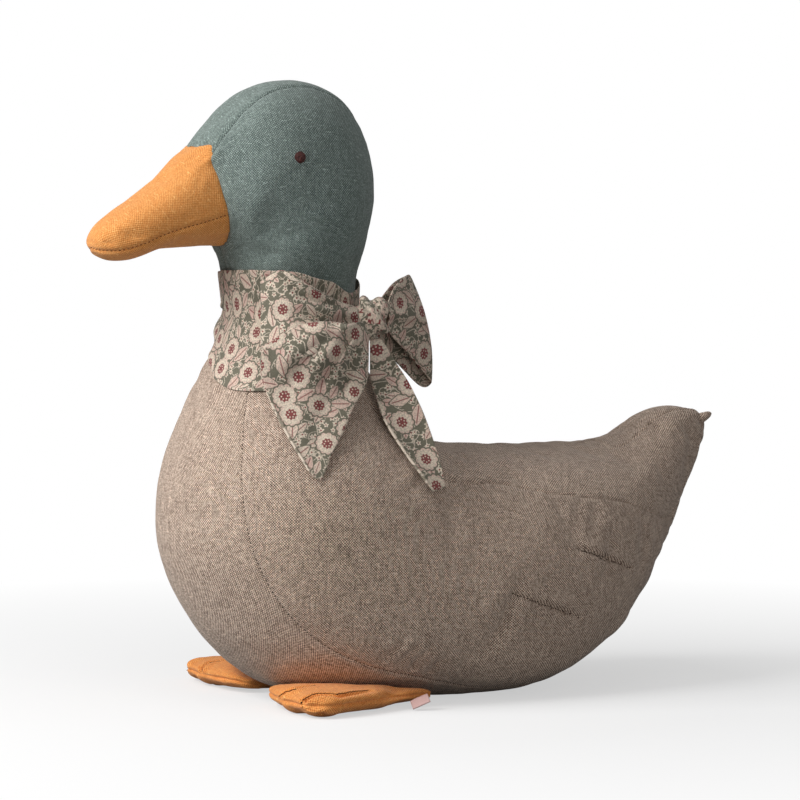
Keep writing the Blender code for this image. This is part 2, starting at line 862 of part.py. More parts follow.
def depth_over(tree, across_by, up_by, lowest):
    """How far towards the bow's front the cloth lies where it rests on other pieces."""
    facing, _ = bow_axes()
    highest = lowest
    for beside in (-drape_reach, 0.0, drape_reach):
        for above in (-drape_reach, 0.0, drape_reach):
            start = bow_point(across_by + beside, neck_height, up_by + above)
            spot, normal, _, _ = tree.ray_cast(start, -facing)
            if spot is not None:
                lean = max(drape_slant_share, abs(normal.dot(facing)))
                highest = max(highest, (spot - knot_centre()).dot(facing) + drape_gap / lean)
    return highest


def bridged(depths, rounds):
    """Depths of a cloth drawn smooth over what it lies on, and never under it."""
    lowest = np.array(depths)
    made = lowest.copy()
    for _ in range(rounds):
        padded = np.pad(made, 1, mode="edge")
        around = padded[:-2, 1:-1] + padded[2:, 1:-1] + padded[1:-1, :-2] + padded[1:-1, 2:]
        made = np.maximum(lowest, around / 4.0)
    return made


def build_front_loop(under, knot_tree, material):
    """The loop over the neck's side: a near layer, a fold and a far layer on the band."""
    near = []
    far = []
    places = []
    depths = []
    for place, top, foot, apart in resampled(front_loop_shares, front_loop_rows):
        across_by = -knot_width / 2.0 - front_loop_length * place
        heights = loop_height * np.linspace(top, foot, loop_columns)
        places.append((across_by, heights, loop_fullness * apart))
        depths.append([depth_over(under, across_by, height, knot_depth * loop_back_share) for height in heights])
    for (across_by, heights, gap), row in zip(places, bridged(depths, loop_smoothings) + scarf_cloth):
        far.append([bow_point(across_by, back, height) for back, height in zip(row, heights)])
        near.append([bow_point(across_by, back + gap, height) for back, height in zip(row, heights)])
    fold = []
    radius = loop_fullness * front_loop_shares[-1][3] / 2.0
    _, across = bow_axes()
    for degrees in (45.0, 90.0, 135.0):
        share = (1.0 - math.cos(math.radians(degrees))) / 2.0
        reach = radius * math.sin(math.radians(degrees))
        row = [start.lerp(end, share) - across * reach for start, end in zip(near[-1], far[-1])]
        fold.append(row)
    near[0] = [off_knot(point, knot_tree) for point in near[0]]
    far[0] = [off_knot(point, knot_tree) for point in far[0]]
    return sheet("front_loop", near + fold + far[::-1], bow_axes()[0], False, material)


def build_rear_loop(knot_tree, material):
    """The loop that stands out behind the neck, open at its lower edge."""
    ribs = []
    table = [(*upper, *lower, bow) for upper, lower, bow in rear_loop_shares]
    for rib in resampled(table, rear_loop_ribs):
        upper = np.array(rib[:3]) * rear_loop_length
        lower = np.array(rib[3:6]) * rear_loop_length
        points = []
        for column in range(loop_columns):
            share = column / (loop_columns - 1)
            across_by, facing_by, up_by = upper + (lower - upper) * share
            across_by += rear_loop_length * rib[6] * math.sin(half_turn * share)
            points.append(bow_point(across_by, facing_by, up_by))
        ribs.append(points)
    ribs[0] = [off_knot(point, knot_tree) for point in ribs[0]]
    ribs[-1] = [off_knot(point, knot_tree) for point in ribs[-1]]
    return sheet("rear_loop", ribs, bow_axes()[0], False, material)


def build_tail(name, table, depth_shares, under, knot_tree, material):
    """A tail that hangs from the knot, over whatever it meets, to its point."""
    ends = resampled([(*left, *right) for left, right in table], tail_rows) * tail_drop
    falls = np.linspace(*depth_shares, len(ends)) * tail_drop
    places = []
    depths = []
    for (left_across, left_up, right_across, right_up), fall in zip(ends, falls):
        across_bys = np.linspace(left_across, right_across, tail_columns)
        row = list(zip(across_bys, np.linspace(left_up, right_up, tail_columns)))
        places.append(row)
        depths.append([depth_over(under, across_by, up_by, fall) for across_by, up_by in row])
    rows = []
    for row, lifts in zip(places, bridged(depths, tail_smoothings)):
        rows.append([bow_point(across_by, lift, up_by) for (across_by, up_by), lift in zip(row, lifts)])
    rows[0] = [off_knot(point, knot_tree) for point in rows[0]]
    return sheet(name, rows, bow_axes()[0], False, material)


def build_scarf(body_skin, head_skin):
    cotton = new_material("scarf_cotton", (0.205, 0.220, 0.150), 0.85)
    band = build_neckband((body_skin, head_skin), cotton)
    band_mesh = mesh_of(band)
    knot = build_knot(cotton)
    knot_tree = tree_of(mesh_of(knot))
    shells = [mesh_of(thing) for thing in duck.objects if thing.name.endswith(("panel", "gusset"))]
    under_loop = tree_of(band_mesh, *shells)
    front_loop = build_front_loop(under_loop, knot_tree, cotton)
    build_rear_loop(knot_tree, cotton)
    under_tail = tree_of(band_mesh, mesh_of(front_loop), *shells)
    front = build_tail("front_tail", front_tail_shares, tail_front_depth_shares, under_tail, knot_tree, cotton)
    rear = build_tail("rear_tail", rear_tail_shares, tail_rear_depth_shares, under_loop, knot_tree, cotton)
    hang([front], tail_pivot(front_tail_shares, front_fold_shares))
    hang([rear], tail_pivot(rear_tail_shares, rear_fold_shares))


def tail_pivot(table, fold_shares):
    """A point of the line that a tail lifts about, beside the middle of its upper end."""
    left, right = table[0]
    ahead, above = fold_shares
    across_by = tail_drop * (left[0] + right[0]) / 2.0
    return bow_point(across_by, tail_drop * ahead, tail_drop * above)


clear_scene()
duck = new_collection("plush_duck")
guides = new_collection("guides")
guides.hide_render = True
fibre = new_material("fibre_filling", (0.800, 0.780, 0.740), 0.95)
body_skin = build_body()
head_skin = build_head()
build_beak()
build_label(build_feet(body_skin))
build_scarf(body_skin, head_skin)
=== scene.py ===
"""A stuffed linen duck with a printed scarf, dressed piece by piece as it is sewn.

Lengths are in metres, but in millimetres where a line is sewn or folded. The duck
faces -Y, its left side is +X and it sits at Z = 0.
"""

import math

import bpy
import numpy as np
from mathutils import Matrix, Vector, noise
from mathutils.bvhtree import BVHTree
from mathutils.kdtree import KDTree


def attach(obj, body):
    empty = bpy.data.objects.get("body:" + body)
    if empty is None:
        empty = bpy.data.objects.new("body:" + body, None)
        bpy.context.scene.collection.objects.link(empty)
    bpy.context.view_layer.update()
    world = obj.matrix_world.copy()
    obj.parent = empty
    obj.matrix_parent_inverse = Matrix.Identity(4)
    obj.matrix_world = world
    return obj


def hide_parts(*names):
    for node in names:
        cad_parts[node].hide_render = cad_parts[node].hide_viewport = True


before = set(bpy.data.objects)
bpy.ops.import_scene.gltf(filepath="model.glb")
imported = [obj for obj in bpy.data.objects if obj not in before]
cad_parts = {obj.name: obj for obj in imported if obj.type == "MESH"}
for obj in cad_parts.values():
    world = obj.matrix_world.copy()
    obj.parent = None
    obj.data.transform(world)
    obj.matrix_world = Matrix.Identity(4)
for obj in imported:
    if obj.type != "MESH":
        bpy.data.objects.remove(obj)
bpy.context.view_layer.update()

# The body
# A sack of coarse taupe linen: two side panels whose puffed rear is the wing, two back
# panels, a chest and belly gusset and a short tail gusset. It is sewn inside out, turned
# and stuffed with fibre, and the wing's two feather lines are stitched through it.


def select_only(*things):
    bpy.ops.object.select_all(action="DESELECT")
    for thing in things:
        thing.select_set(True)
    bpy.context.view_layer.objects.active = things[0]


def places_of(thing):
    places = np.empty(len(thing.data.vertices) * 3)
    thing.data.vertices.foreach_get("co", places)
    return places.reshape(-1, 3)


def normals_of(thing):
    normals = np.empty(len(thing.data.vertices) * 3)
    thing.data.vertices.foreach_get("normal", normals)
    return normals.reshape(-1, 3)


def put_places(thing, places):
    thing.data.vertices.foreach_set("co", np.ascontiguousarray(places, float).ravel())
    thing.data.update()


def tree_of(node):
    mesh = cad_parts[node].data
    faces = [tuple(face.vertices) for face in mesh.polygons]
    return BVHTree.FromPolygons([vertex.co for vertex in mesh.vertices], faces)


def surface_of(form):
    return BVHTree.FromObject(form, bpy.context.evaluated_depsgraph_get())


def finder(numbered):
    """Finds which of some numbered places is nearest."""
    numbered = list(numbered)
    tree = KDTree(len(numbered))
    for number, place in numbered:
        tree.insert(place, number)
    tree.balance()
    return tree


def copy_of(node, name, panels=(), bare=1.0):
    """A new piece with the mesh of a CAD node, merged and turned back into quads.

    Each face takes the number of the panel over it. Faces further than bare from any
    panel are the flat ends of a form that another form closes, and they come off.
    """
    made = bpy.data.objects.new(name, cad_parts[node].data.copy())
    bpy.context.scene.collection.objects.link(made)
    select_only(made)
    bpy.ops.object.mode_set(mode="EDIT")
    bpy.ops.mesh.select_all(action="SELECT")
    bpy.ops.mesh.remove_doubles(threshold=0.00002)
    bpy.ops.mesh.normals_make_consistent(inside=False)
    bpy.ops.mesh.select_all(action="DESELECT")
    bpy.ops.object.mode_set(mode="OBJECT")
    made.data.materials.clear()
    trees = [tree_of(panel) for panel in panels]
    for _ in panels:
        made.data.materials.append(None)
    if panels:
        for face in made.data.polygons:
            gaps = [tree.find_nearest(face.center)[3] for tree in trees]
            face.material_index = gaps.index(min(gaps))
            face.select = min(gaps) > bare
    bpy.ops.object.mode_set(mode="EDIT")
    bpy.ops.mesh.delete(type="FACE")
    bpy.ops.mesh.select_all(action="SELECT")
    turned, bent = math.radians(70), math.radians(120)
    bpy.ops.mesh.tris_convert_to_quads(face_threshold=turned, shape_threshold=bent, materials=True)
    bpy.ops.object.mode_set(mode="OBJECT")
    return made


def face_slots(mesh):
    slots = np.empty(len(mesh.polygons), int)
    mesh.polygons.foreach_get("material_index", slots)
    return slots


def seam_edges(mesh, pair=None):
    """The numbers of the edges where two panels meet or where a panel ends."""
    low = np.full(len(mesh.edges), 99)
    high = np.full(len(mesh.edges), -1)
    edges = np.empty(len(mesh.loops), int)
    mesh.loops.foreach_get("edge_index", edges)
    totals = np.empty(len(mesh.polygons), int)
    mesh.polygons.foreach_get("loop_total", totals)
    slots = np.repeat(face_slots(mesh), totals)
    np.minimum.at(low, edges, slots)
    np.maximum.at(high, edges, slots)
    uses = np.bincount(edges, minlength=len(mesh.edges))
    if pair:
        return np.nonzero((low == min(pair)) & (high == max(pair)))[0]
    return np.nonzero((low != high) | (uses == 1))[0]


def lay_flat(form):
    """Gives the panels flat patterns in metres, each turned as its cloth hangs."""
    mesh = form.data
    for number in seam_edges(mesh):
        mesh.edges[number].use_seam = True
    mesh.uv_layers.new(name="cloth")
    select_only(form)
    bpy.ops.object.mode_set(mode="EDIT")
    bpy.ops.mesh.select_all(action="SELECT")
    bpy.ops.uv.unwrap(method="CONFORMAL", margin=0.001)
    bpy.ops.object.mode_set(mode="OBJECT")
    flat = mesh.uv_layers["cloth"].data
    for slot in range(len(mesh.materials)):
        faces = [face for face in mesh.polygons if face.material_index == slot]
        if not faces:
            continue
        facing = sum((face.normal * face.area for face in faces), Vector()).normalized()
        upward = Vector((0, 1, 0)) if abs(facing.z) > 0.75 else Vector((0, 0, 1))
        across = upward.cross(facing).normalized()
        upward = facing.cross(across)
        loops = [loop for face in faces for loop in face.loop_indices]
        here = np.array([flat[loop].uv for loop in loops])
        spots = [mesh.vertices[mesh.loops[loop].vertex_index].co for loop in loops]
        there = np.array([(spot.dot(across), spot.dot(upward)) for spot in spots])
        middle = here.mean(axis=0)
        left, _, right = np.linalg.svd((here - middle).T @ (there - there.mean(axis=0)))
        turn = left @ right
        flat_area = 0.0
        for face in faces:
            ring = np.array([flat[loop].uv for loop in face.loop_indices])
            beside = np.roll(ring, -1, axis=0)
            flat_area += abs(np.sum(ring[:, 0] * beside[:, 1] - ring[:, 1] * beside[:, 0])) / 2.0
        size = math.sqrt(sum(face.area for face in faces) / flat_area)
        for loop, spot in zip(loops, (here - middle) @ turn * size):
            flat[loop].uv = spot


def round_out(form, levels, keep=0):
    """Rounds a form, with its corners pushed out first so that it keeps its size."""
    smooth = form.modifiers.new("round", "SUBSURF")
    smooth.levels = levels
    smooth.render_levels = levels
    corners = places_of(form)
    for _ in range(keep):
        seen = form.evaluated_get(bpy.context.evaluated_depsgraph_get())
        put_places(form, places_of(form) + corners - places_of(seen)[: len(corners)])
    select_only(form)
    bpy.ops.object.modifier_apply(modifier=smooth.name)


resting = 0.004  # cloth lower than this lies on the floor


def swell(form, cap, growth):
    """Lets the fibre press the cloth out between its seams, which hold still."""
    before = places_of(form)
    held = form.vertex_groups.new(name="held")
    corners = set()
    for number in seam_edges(form.data):
        corners.update(form.data.edges[number].vertices)
    corners.update(int(number) for number in np.nonzero(before[:, 2] < resting)[0])
    held.add(sorted(corners), 1.0, "REPLACE")
    cloth = form.modifiers.new("cloth", "CLOTH")
    cloth.settings.quality = 5
    cloth.settings.mass = 0.2
    cloth.settings.tension_stiffness = 25.0
    cloth.settings.compression_stiffness = 25.0
    cloth.settings.bending_stiffness = 2.0
    cloth.settings.use_pressure = True
    cloth.settings.uniform_pressure_force = 4.0
    cloth.settings.shrink_min = -growth
    cloth.settings.vertex_group_mass = "held"
    cloth.settings.effector_weights.gravity = 0.0
    cloth.collision_settings.use_collision = False
    first, last = 1, 20
    cloth.point_cache.frame_start = first
    cloth.point_cache.frame_end = last
    for number in range(first, last + 1):
        bpy.context.scene.frame_set(number)
    select_only(form)
    bpy.ops.object.modifier_apply(modifier=cloth.name)
    bpy.context.scene.frame_set(first)
    moves = places_of(form) - before
    lengths = np.linalg.norm(moves, axis=1, keepdims=True)
    moves *= np.minimum(1.0, cap / np.maximum(lengths, 1e-9))
    put_places(form, before + moves)
    form.vertex_groups.clear()


def off_seams(form, most=0.02):
    """Each point's distance from the nearest seam, up to the most that is asked for."""
    mesh = form.data
    places = places_of(form)
    ends = np.array([tuple(mesh.edges[number].vertices) for number in seam_edges(mesh)])
    starts = places[ends[:, 0]]
    runs = places[ends[:, 1]] - starts
    lengths = np.maximum((runs**2).sum(axis=1), 1e-12)
    seams = finder(enumerate(starts + runs / 2.0))
    gaps = np.full(len(places), most)
    for number, place in enumerate(places):
        for _, edge, far in seams.find_n(place, 3):
            if far > most:
                break
            share = min(1.0, max(0.0, float((place - starts[edge]) @ runs[edge]) / lengths[edge]))
            gap = np.linalg.norm(place - starts[edge] - runs[edge] * share)
            gaps[number] = min(gaps[number], gap)
    return gaps


def off_line(places, normals, line, through=0.015):
    """Each place's distance from a line, as seen square on, and a fade to the line's ends.

    Places deeper than through behind or before the line count as far from it.
    """
    line = np.array(line, float)
    gaps = np.full(len(places), 1.0)
    shares = np.zeros(len(places))
    for number in range(len(line) - 1):
        run = line[number + 1] - line[number]
        step = np.clip((places - line[number]) @ run / (run @ run), 0.0, 1.0)
        apart = places - line[number] - step[:, None] * run
        deep = (apart * normals).sum(axis=1)
        far = np.linalg.norm(apart - deep[:, None] * normals, axis=1)
        far[np.abs(deep) > through] = 1.0
        nearer = far < gaps
        gaps[nearer] = far[nearer]
        shares[nearer] = ((number + step) / (len(line) - 1))[nearer]
    return gaps, np.sqrt(np.clip(np.sin(math.pi * np.clip(shares, 0.02, 0.98)), 0.0, 1.0))


def groove(gaps, depth, width, puff):
    """A sewn line's dip, with the cloth standing up a little beside it."""
    beside = np.exp(-(((gaps - 2.6 * width) / (1.8 * width)) ** 2))
    return puff * beside - depth * np.exp(-((gaps / width) ** 2))


def ripples(places, size, seed):
    """Soft unevenness from -1 to 1, with bumps of about the given size."""
    start = Vector((seed * 7.3, seed * 3.1, seed * 5.7))
    return np.array([noise.noise(Vector(place) / size + start) for place in places])


def sew(form, out, depth, width, puff, pucker, creases=()):
    """Moves the cloth to its outer face, with its seams drawn in and its creases."""
    floor_gap = 0.0002
    places = places_of(form)
    normals = normals_of(form)
    gaps = off_seams(form)
    moves = out + groove(gaps, depth, width, puff)
    moves += pucker * ripples(places, 0.0045, 1) * np.exp(-gaps / 0.005)
    moves += 0.0007 * ripples(places, 0.030, 2) + 0.00025 * ripples(places, 0.009, 3)
    for line, *sizes in creases:
        far, fade = off_line(places, normals, line)
        moves += groove(far, *sizes) * fade
    places = places + normals * moves[:, None]
    places[:, 2] = np.maximum(places[:, 2], floor_gap)
    put_places(form, places)


def seam_lines(form, first, second):
    """The lines of places along which two panels of a form meet, each end to end."""
    mesh = form.data
    beside = {}
    for number in seam_edges(mesh, (first, second)):
        one, other = mesh.edges[number].vertices
        beside.setdefault(one, []).append(other)
        beside.setdefault(other, []).append(one)
    lines = []
    while beside:
        ahead = [min((len(near), place) for place, near in beside.items())[1]]
        lines.append([])
        while ahead:
            lines[-1].append(tuple(mesh.vertices[ahead[0]].co))
            ahead = [near for near in beside.pop(ahead[0]) if near in beside]
    return [line for line in lines if len(line) > 4]


def shift_seam(form, first, second, line, reach):
    """Slides the cloth along its own surface, so that a seam runs where it was sewn."""
    cloth = surface_of(form)
    seam = np.array(max(seam_lines(form, first, second), key=len))
    line = np.array(line, float)
    steps = np.concatenate([np.linspace(*pair, 20) for pair in zip(line[:-1], line[1:])])
    shifts = np.zeros_like(seam)
    for number, place in enumerate(seam):
        nearest = np.argmin(np.linalg.norm(steps - place, axis=1))
        if 0 < nearest < len(steps) - 1:
            shifts[number] = steps[nearest] - place
    for _ in range(30):
        shifts[1:-1] = (shifts[:-2] + shifts[1:-1] + shifts[2:]) / 3.0
    sewn = finder(enumerate(seam))
    places = places_of(form)
    for number, place in enumerate(places):
        _, nearest, far = sewn.find(place)
        if far < reach * 2.5 and place[2] > 0.001:
            there = Vector(place + shifts[nearest] * math.exp(-((far / reach) ** 2)))
            places[number] = cloth.find_nearest(there)[0]
    put_places(form, places)


def dress(piece, finish, body, slot, *nodes):
    """Gives a finished piece its cloth, its body and the nodes it replaces; its slot is not used.
    """
    piece.data.materials.clear()
    piece.data.materials.append(finish)
    piece.data.shade_smooth()
    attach(piece, body)
    if nodes:
        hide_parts(*nodes)


def stitch(name, form, lines, pitch, size, thread, slot, body="duck"):
    """Rows of small stitches on the cloth, at an even pitch."""
    bpy.ops.object.select_all(action="DESELECT")
    bpy.ops.mesh.primitive_uv_sphere_add(segments=8, ring_count=4, radius=0.5)
    knots = bpy.context.object
    one = places_of(knots)
    ring = [tuple(face.vertices) for face in knots.data.polygons]
    cloth = surface_of(form)
    spots, faces = [], []
    for line in lines:
        line = np.array(line, float)
        lengths = np.linalg.norm(np.diff(line, axis=0), axis=1)
        runs = np.concatenate(([0.0], np.cumsum(lengths)))

        def at(run):
            return Vector([np.interp(run, runs, line[:, axis]) for axis in range(3)])

        for run in np.arange(pitch / 2.0, runs[-1], pitch):
            place, normal, _, _ = cloth.find_nearest(at(run))
            along = (at(run + 0.001) - at(run - 0.001)).normalized()
            across = normal.cross(along).normalized()
            turned = np.array([along * size[0], across * size[1], normal * size[2]])
            start = len(spots) * len(one)
            faces += [tuple(number + start for number in face) for face in ring]
            spots.append(one @ turned + np.array(place))
    made = bpy.data.meshes.new(name)
    made.from_pydata(np.concatenate(spots).tolist(), [], faces)
    old = knots.data
    knots.data = made
    bpy.data.meshes.remove(old)
    knots.name = name
    dress(knots, thread, body, slot)


def part_panels(form, panels, body, slot, finish, hidden):
    """Cuts the sewn form along its seams into the panels, each a piece of its own.

    The first panel also stands for the filling, which is hidden.
    """
    slots = face_slots(form.data)
    form.data.materials.clear()
    for panel in panels:
        form.data.materials.append(bpy.data.materials.new(f"cut_{panel}"))
    form.data.polygons.foreach_set("material_index", slots)
    select_only(form)
    bpy.ops.object.mode_set(mode="EDIT")
    bpy.ops.mesh.select_all(action="SELECT")
    bpy.ops.mesh.separate(type="MATERIAL")
    bpy.ops.object.mode_set(mode="OBJECT")
    for piece in list(bpy.context.selected_objects):
        number = piece.data.polygons[0].material_index
        marker = piece.data.materials[number if number < len(piece.data.materials) else 0]
        node = marker.name.removeprefix("cut_")
        nodes = (node, hidden) if node == panels[0] else (node,)
        piece.name = f"{node}_cloth"
        dress(piece, finish, body, slot, *nodes)
        bpy.data.materials.remove(marker)


class Value:
    """A socket of a node, so that sums written on it add their nodes."""

    def __init__(self, nodes, socket):
        self.nodes = nodes
        self.socket = socket

    def other(self, name):
        """Another output of the node that this one comes from."""
        return Value(self.nodes, self.socket.node.outputs[name])

    def __add__(self, other):
        return self.nodes.sum("ADD", self, other)

    def __sub__(self, other):
        return self.nodes.sum("SUBTRACT", self, other)

    def __rsub__(self, other):
        return self.nodes.sum("SUBTRACT", other, self)

    def __mul__(self, other):
        return self.nodes.sum("MULTIPLY", self, other)

    def __truediv__(self, other):
        return self.nodes.sum("DIVIDE", self, other)

    def __pow__(self, other):
        return self.nodes.sum("POWER", self, other)

    __radd__ = __add__
    __rmul__ = __mul__


class Nodes:
    """The nodes of a finish or of the studio's sky, each made by one method."""

    def __init__(self, tree):
        self.tree = tree

    def feed(self, socket, value):
        if isinstance(value, Value):
            self.tree.links.new(value.socket, socket)
        else:
            socket.default_value = value

    def node(self, kind, settings=(), sockets=(), out=0):
        made = self.tree.nodes.new(kind)
        for key, value in dict(settings).items():
            if key == "stops":
                ramp = made.color_ramp.elements
                while len(ramp) < len(value):
                    ramp.new(1.0)
                for element, (place, colour) in zip(ramp, value):
                    element.position = place
                    element.color = (*colour, 1.0)
            else:
                setattr(made, key, value)
        for key, value in dict(sockets).items():
            self.feed(made.inputs[key], value)
        return Value(self, made.outputs[out])

    def sum(self, operation, first, second=0.0, third=0.0):
        terms = {0: first, 1: second, 2: third}
        return self.node("ShaderNodeMath", {"operation": operation}, terms)

    def stretch(self, vector, sizes, shift=(0.0, 0.0, 0.0)):
        settings = {"operation": "MULTIPLY_ADD"}
        return self.node("ShaderNodeVectorMath", settings, {0: vector, 1: sizes, 2: shift})

    def noise(self, vector, detail=2.0, dimensions="2D"):
        sockets = {"Vector": vector, "Scale": 1.0, "Detail": detail}
        return self.node("ShaderNodeTexNoise", {"noise_dimensions": dimensions}, sockets)

    def mix(self, share, first, second):
        sockets = {0: share, 6: first, 7: second}
        return self.node("ShaderNodeMix", {"data_type": "RGBA"}, sockets, out=2)

    def step(self, value, start, end):
        """0 below start and 1 above end, smooth between, or falling if start is more."""
        settings = {"interpolation_type": "SMOOTHSTEP"}
        sockets = {"Value": value, "From Min": start, "From Max": end}
        return self.node("ShaderNodeMapRange", settings, sockets)

    def weave(self, vector, threads=1.0):
        """High where the warp crosses over the weft and low where it goes under."""
        counted = self.stretch(vector, (threads * math.pi,) * 3)
        across = self.node("ShaderNodeSeparateXYZ", {}, {0: counted})
        return self.sum("SINE", across) * self.sum("SINE", across.other(1))


class Finish(Nodes):
    """A cloth or thread finish, built on the Principled shader."""

    def __init__(self, name, roughness, sheen=0.0, specular=0.25):
        self.material = bpy.data.materials.new(name)
        self.material.use_nodes = True
        super().__init__(self.material.node_tree)
        self.shader = self.tree.nodes["Principled BSDF"]
        self.shader.inputs["Roughness"].default_value = roughness
        self.shader.inputs["Specular IOR Level"].default_value = specular
        self.shader.inputs["Sheen Weight"].default_value = sheen
        self.shader.inputs["Sheen Roughness"].default_value = 0.6

    def show(self, colour, height, distance, strength):
        sockets = {"Height": height, "Distance": distance, "Strength": strength}
        self.feed(self.shader.inputs["Base Color"], colour)
        self.feed(self.shader.inputs["Normal"], self.node("ShaderNodeBump", {}, sockets))
        return self.material


def shade(red, green, blue):
    """A colour given as a screen shows it, as the linear colour of a finish."""
    parts = (part / 255.0 for part in (red, green, blue))
    return tuple(part / 12.92 if part < 0.04 else ((part + 0.055) / 1.055) ** 2.4 for part in parts)


def linen(name, dark, middle, light, thread, contrast):
    """Plain woven linen: every crossing of warp and weft has its own tone, with slubs."""
    finish = Finish(name, 0.92, 0.12)
    flat = finish.node("ShaderNodeUVMap", {"uv_map": "cloth"})
    wander = finish.noise(finish.stretch(flat, (160.0, 160.0, 0.0)), 0.0)
    spread = {0: finish.stretch(flat, (1.0 / thread,) * 3), 1: wander}
    threads = finish.node("ShaderNodeVectorMath", {"operation": "ADD"}, spread)
    crossing = finish.node("ShaderNodeVectorMath", {"operation": "FLOOR"}, {0: threads})
    settings = {"noise_dimensions": "2D"}
    own = finish.node("ShaderNodeTexWhiteNoise", settings, {"Vector": crossing})
    warp = finish.noise(finish.stretch(threads, (1.2, 0.07, 0.0)), 1.0)
    weft = finish.noise(finish.stretch(threads, (0.07, 1.2, 0.0), (31.0, 17.0, 0.0)), 1.0)
    slubs = finish.noise(finish.stretch(threads, (0.14, 0.6, 0.0), (9.0, 3.0, 0.0)), 0.0)
    broad = finish.noise(finish.stretch(flat, (30.0, 30.0, 0.0)), 2.0)
    weave = finish.weave(threads)
    knots = finish.step(slubs, 0.79, 0.83)
    tone = weave * 0.52 + (own - 0.5) * 0.34 + (warp - 0.5) * 0.42 + (weft - 0.5) * 0.28
    tone = tone * contrast + (broad - 0.5) * 0.08 + knots * 0.26 + 0.5
    stops = ((0.0, dark), (0.5, middle), (1.0, light))
    colour = finish.node("ShaderNodeValToRGB", {"stops": stops}, {0: tone})
    height = weave * 0.8 + (warp + weft) * 0.3 + own * 0.15 + knots * 0.6
    return finish.show(colour, height, thread * 0.3, 0.5)


def twisted(name, colour):
    """Sewing thread: two tones of one colour and a fine ridge, from its twisted plies."""
    finish = Finish(name, 0.8)
    place = finish.node("ShaderNodeTexCoord", out="Object")
    plies = finish.noise(finish.stretch(place, (2400.0,) * 3), 1.0, "3D")
    dark, pale = ((*(part * tone for part in colour), 1.0) for tone in (0.6, 1.5))
    twist = finish.mix(finish.step(plies, 0.35, 0.65), dark, pale)
    return finish.show(twist, plies, 0.0001, 0.4)


def metres(*places):
    """Places given in millimetres."""
    return [tuple(part / 1000.0 for part in place) for place in places]


def crease(depth, width, puff, *line):
    """A line of places, its depth, its width and the puff beside it, all in millimetres."""
    return metres(*line), depth / 1000.0, width / 1000.0, puff / 1000.0


def creased(lines, side):
    """The creases of the left side, or their mirror on the right for side -1."""
    return [([(x * side, y, z) for x, y, z in line], *sizes) for line, *sizes in lines]


body_panels = (
    "left_side_panel", "right_side_panel", "left_back_panel", "right_back_panel",
    "tail_gusset", "chest_belly_gusset",
)
# the two feather lines, then the softer pulls of the cloth
body_lines = (
    crease(3.0, 1.3, 1.4, (86, 21, 63), (85, 37, 57), (81, 52, 52), (76, 69, 46)),
    crease(3.0, 1.3, 1.4, (80, 67, 85), (74, 87, 78), (64, 107, 71)),
    crease(1.9, 3.6, 1.0, (86, 26, 68), (86, 21, 59), (84, 16, 46), (80, 6, 32)),
    crease(1.0, 6.0, 0.4, (78, -5, 27), (84, 10, 38), (86, 22, 52)),
    crease(0.6, 1.2, 0.2, (86, -50, 52), (84, -32, 42), (81, -12, 33)),
    crease(1.0, 1.8, 0.6, (83, -41, 42), (80, -48, 35), (75, -54, 29)),
    crease(1.2, 1.8, 0.7, (84, -33, 41), (79, -39, 32), (72, -44, 24)),
    crease(1.0, 2.0, 0.6, (83, -26, 39), (79, -31, 30), (71, -35, 21)),
    crease(0.9, 2.0, 0.5, (81, -15, 32), (77, -20, 25), (68, -24, 17)),
    crease(-2.0, 6.5, 0.0, (50, 112, 47), (54, 106, 40), (56, 98, 32)),
)
body_creases = creased(body_lines, 1) + creased(body_lines, -1)
feathers = [line for line, depth, _, _ in body_creases if depth > 0.002]

gusset = body_panels.index("chest_belly_gusset")
# where the gusset is sewn to the left side panel, from the neck to the belly
gusset_sewn = metres(
    (36, -116, 174), (46, -122, 152), (53, -125, 133), (58, -127, 114), (61, -125, 98),
    (62, -120, 81), (64, -114, 69), (65, -105, 56), (67, -95, 47), (71, -82, 39),
    (73, -66, 31), (73, -46, 25), (70, -27, 20), (65, -13, 14),
)
panel_gap = 0.00055  # no panel lies further than this off its filling
body_form = copy_of("body_filling", "body_form", body_panels, panel_gap)
round_out(body_form, 2, keep=3)
shift_seam(body_form, gusset, 0, gusset_sewn, reach=0.030)
shift_seam(body_form, gusset, 1, [(-x, y, z) for x, y, z in gusset_sewn], reach=0.030)
lay_flat(body_form)
swell(body_form, cap=0.003, growth=0.008)
round_out(body_form, 2)
cloth_out = 0.0014  # from the filling to the cloth's outer face
seam_dip = {"depth": 0.0006, "width": 0.0009, "puff": 0.0003}
sew(body_form, cloth_out, **seam_dip, pucker=0.0002, creases=body_creases)
body_tones = shade(70, 52, 40), shade(162, 138, 121), shade(246, 224, 204)
body_linen = linen("body_linen", *body_tones, thread=0.00068, contrast=1.4)
body_thread = twisted("body_thread", shade(46, 32, 25))
gusset_lines = seam_lines(body_form, gusset, 0) + seam_lines(body_form, gusset, 1)
for name, lines, pitch, size in (
    ("gusset_stitches", gusset_lines, 0.0025, (0.0011, 0.0009, 0.0006)),
    ("feather_stitches", feathers, 0.0020, (0.0017, 0.0006, 0.0006)),
):
    stitch(name, body_form, lines, pitch, size, body_thread, "body_linen")
body_cloth = surface_of(body_form)
part_panels(body_form, body_panels, "duck", "body_linen", body_linen, "body_filling")

# The tail's tip
# A small hard nub of the body's linen, where the tail's seams meet and their ends
# were turned out.

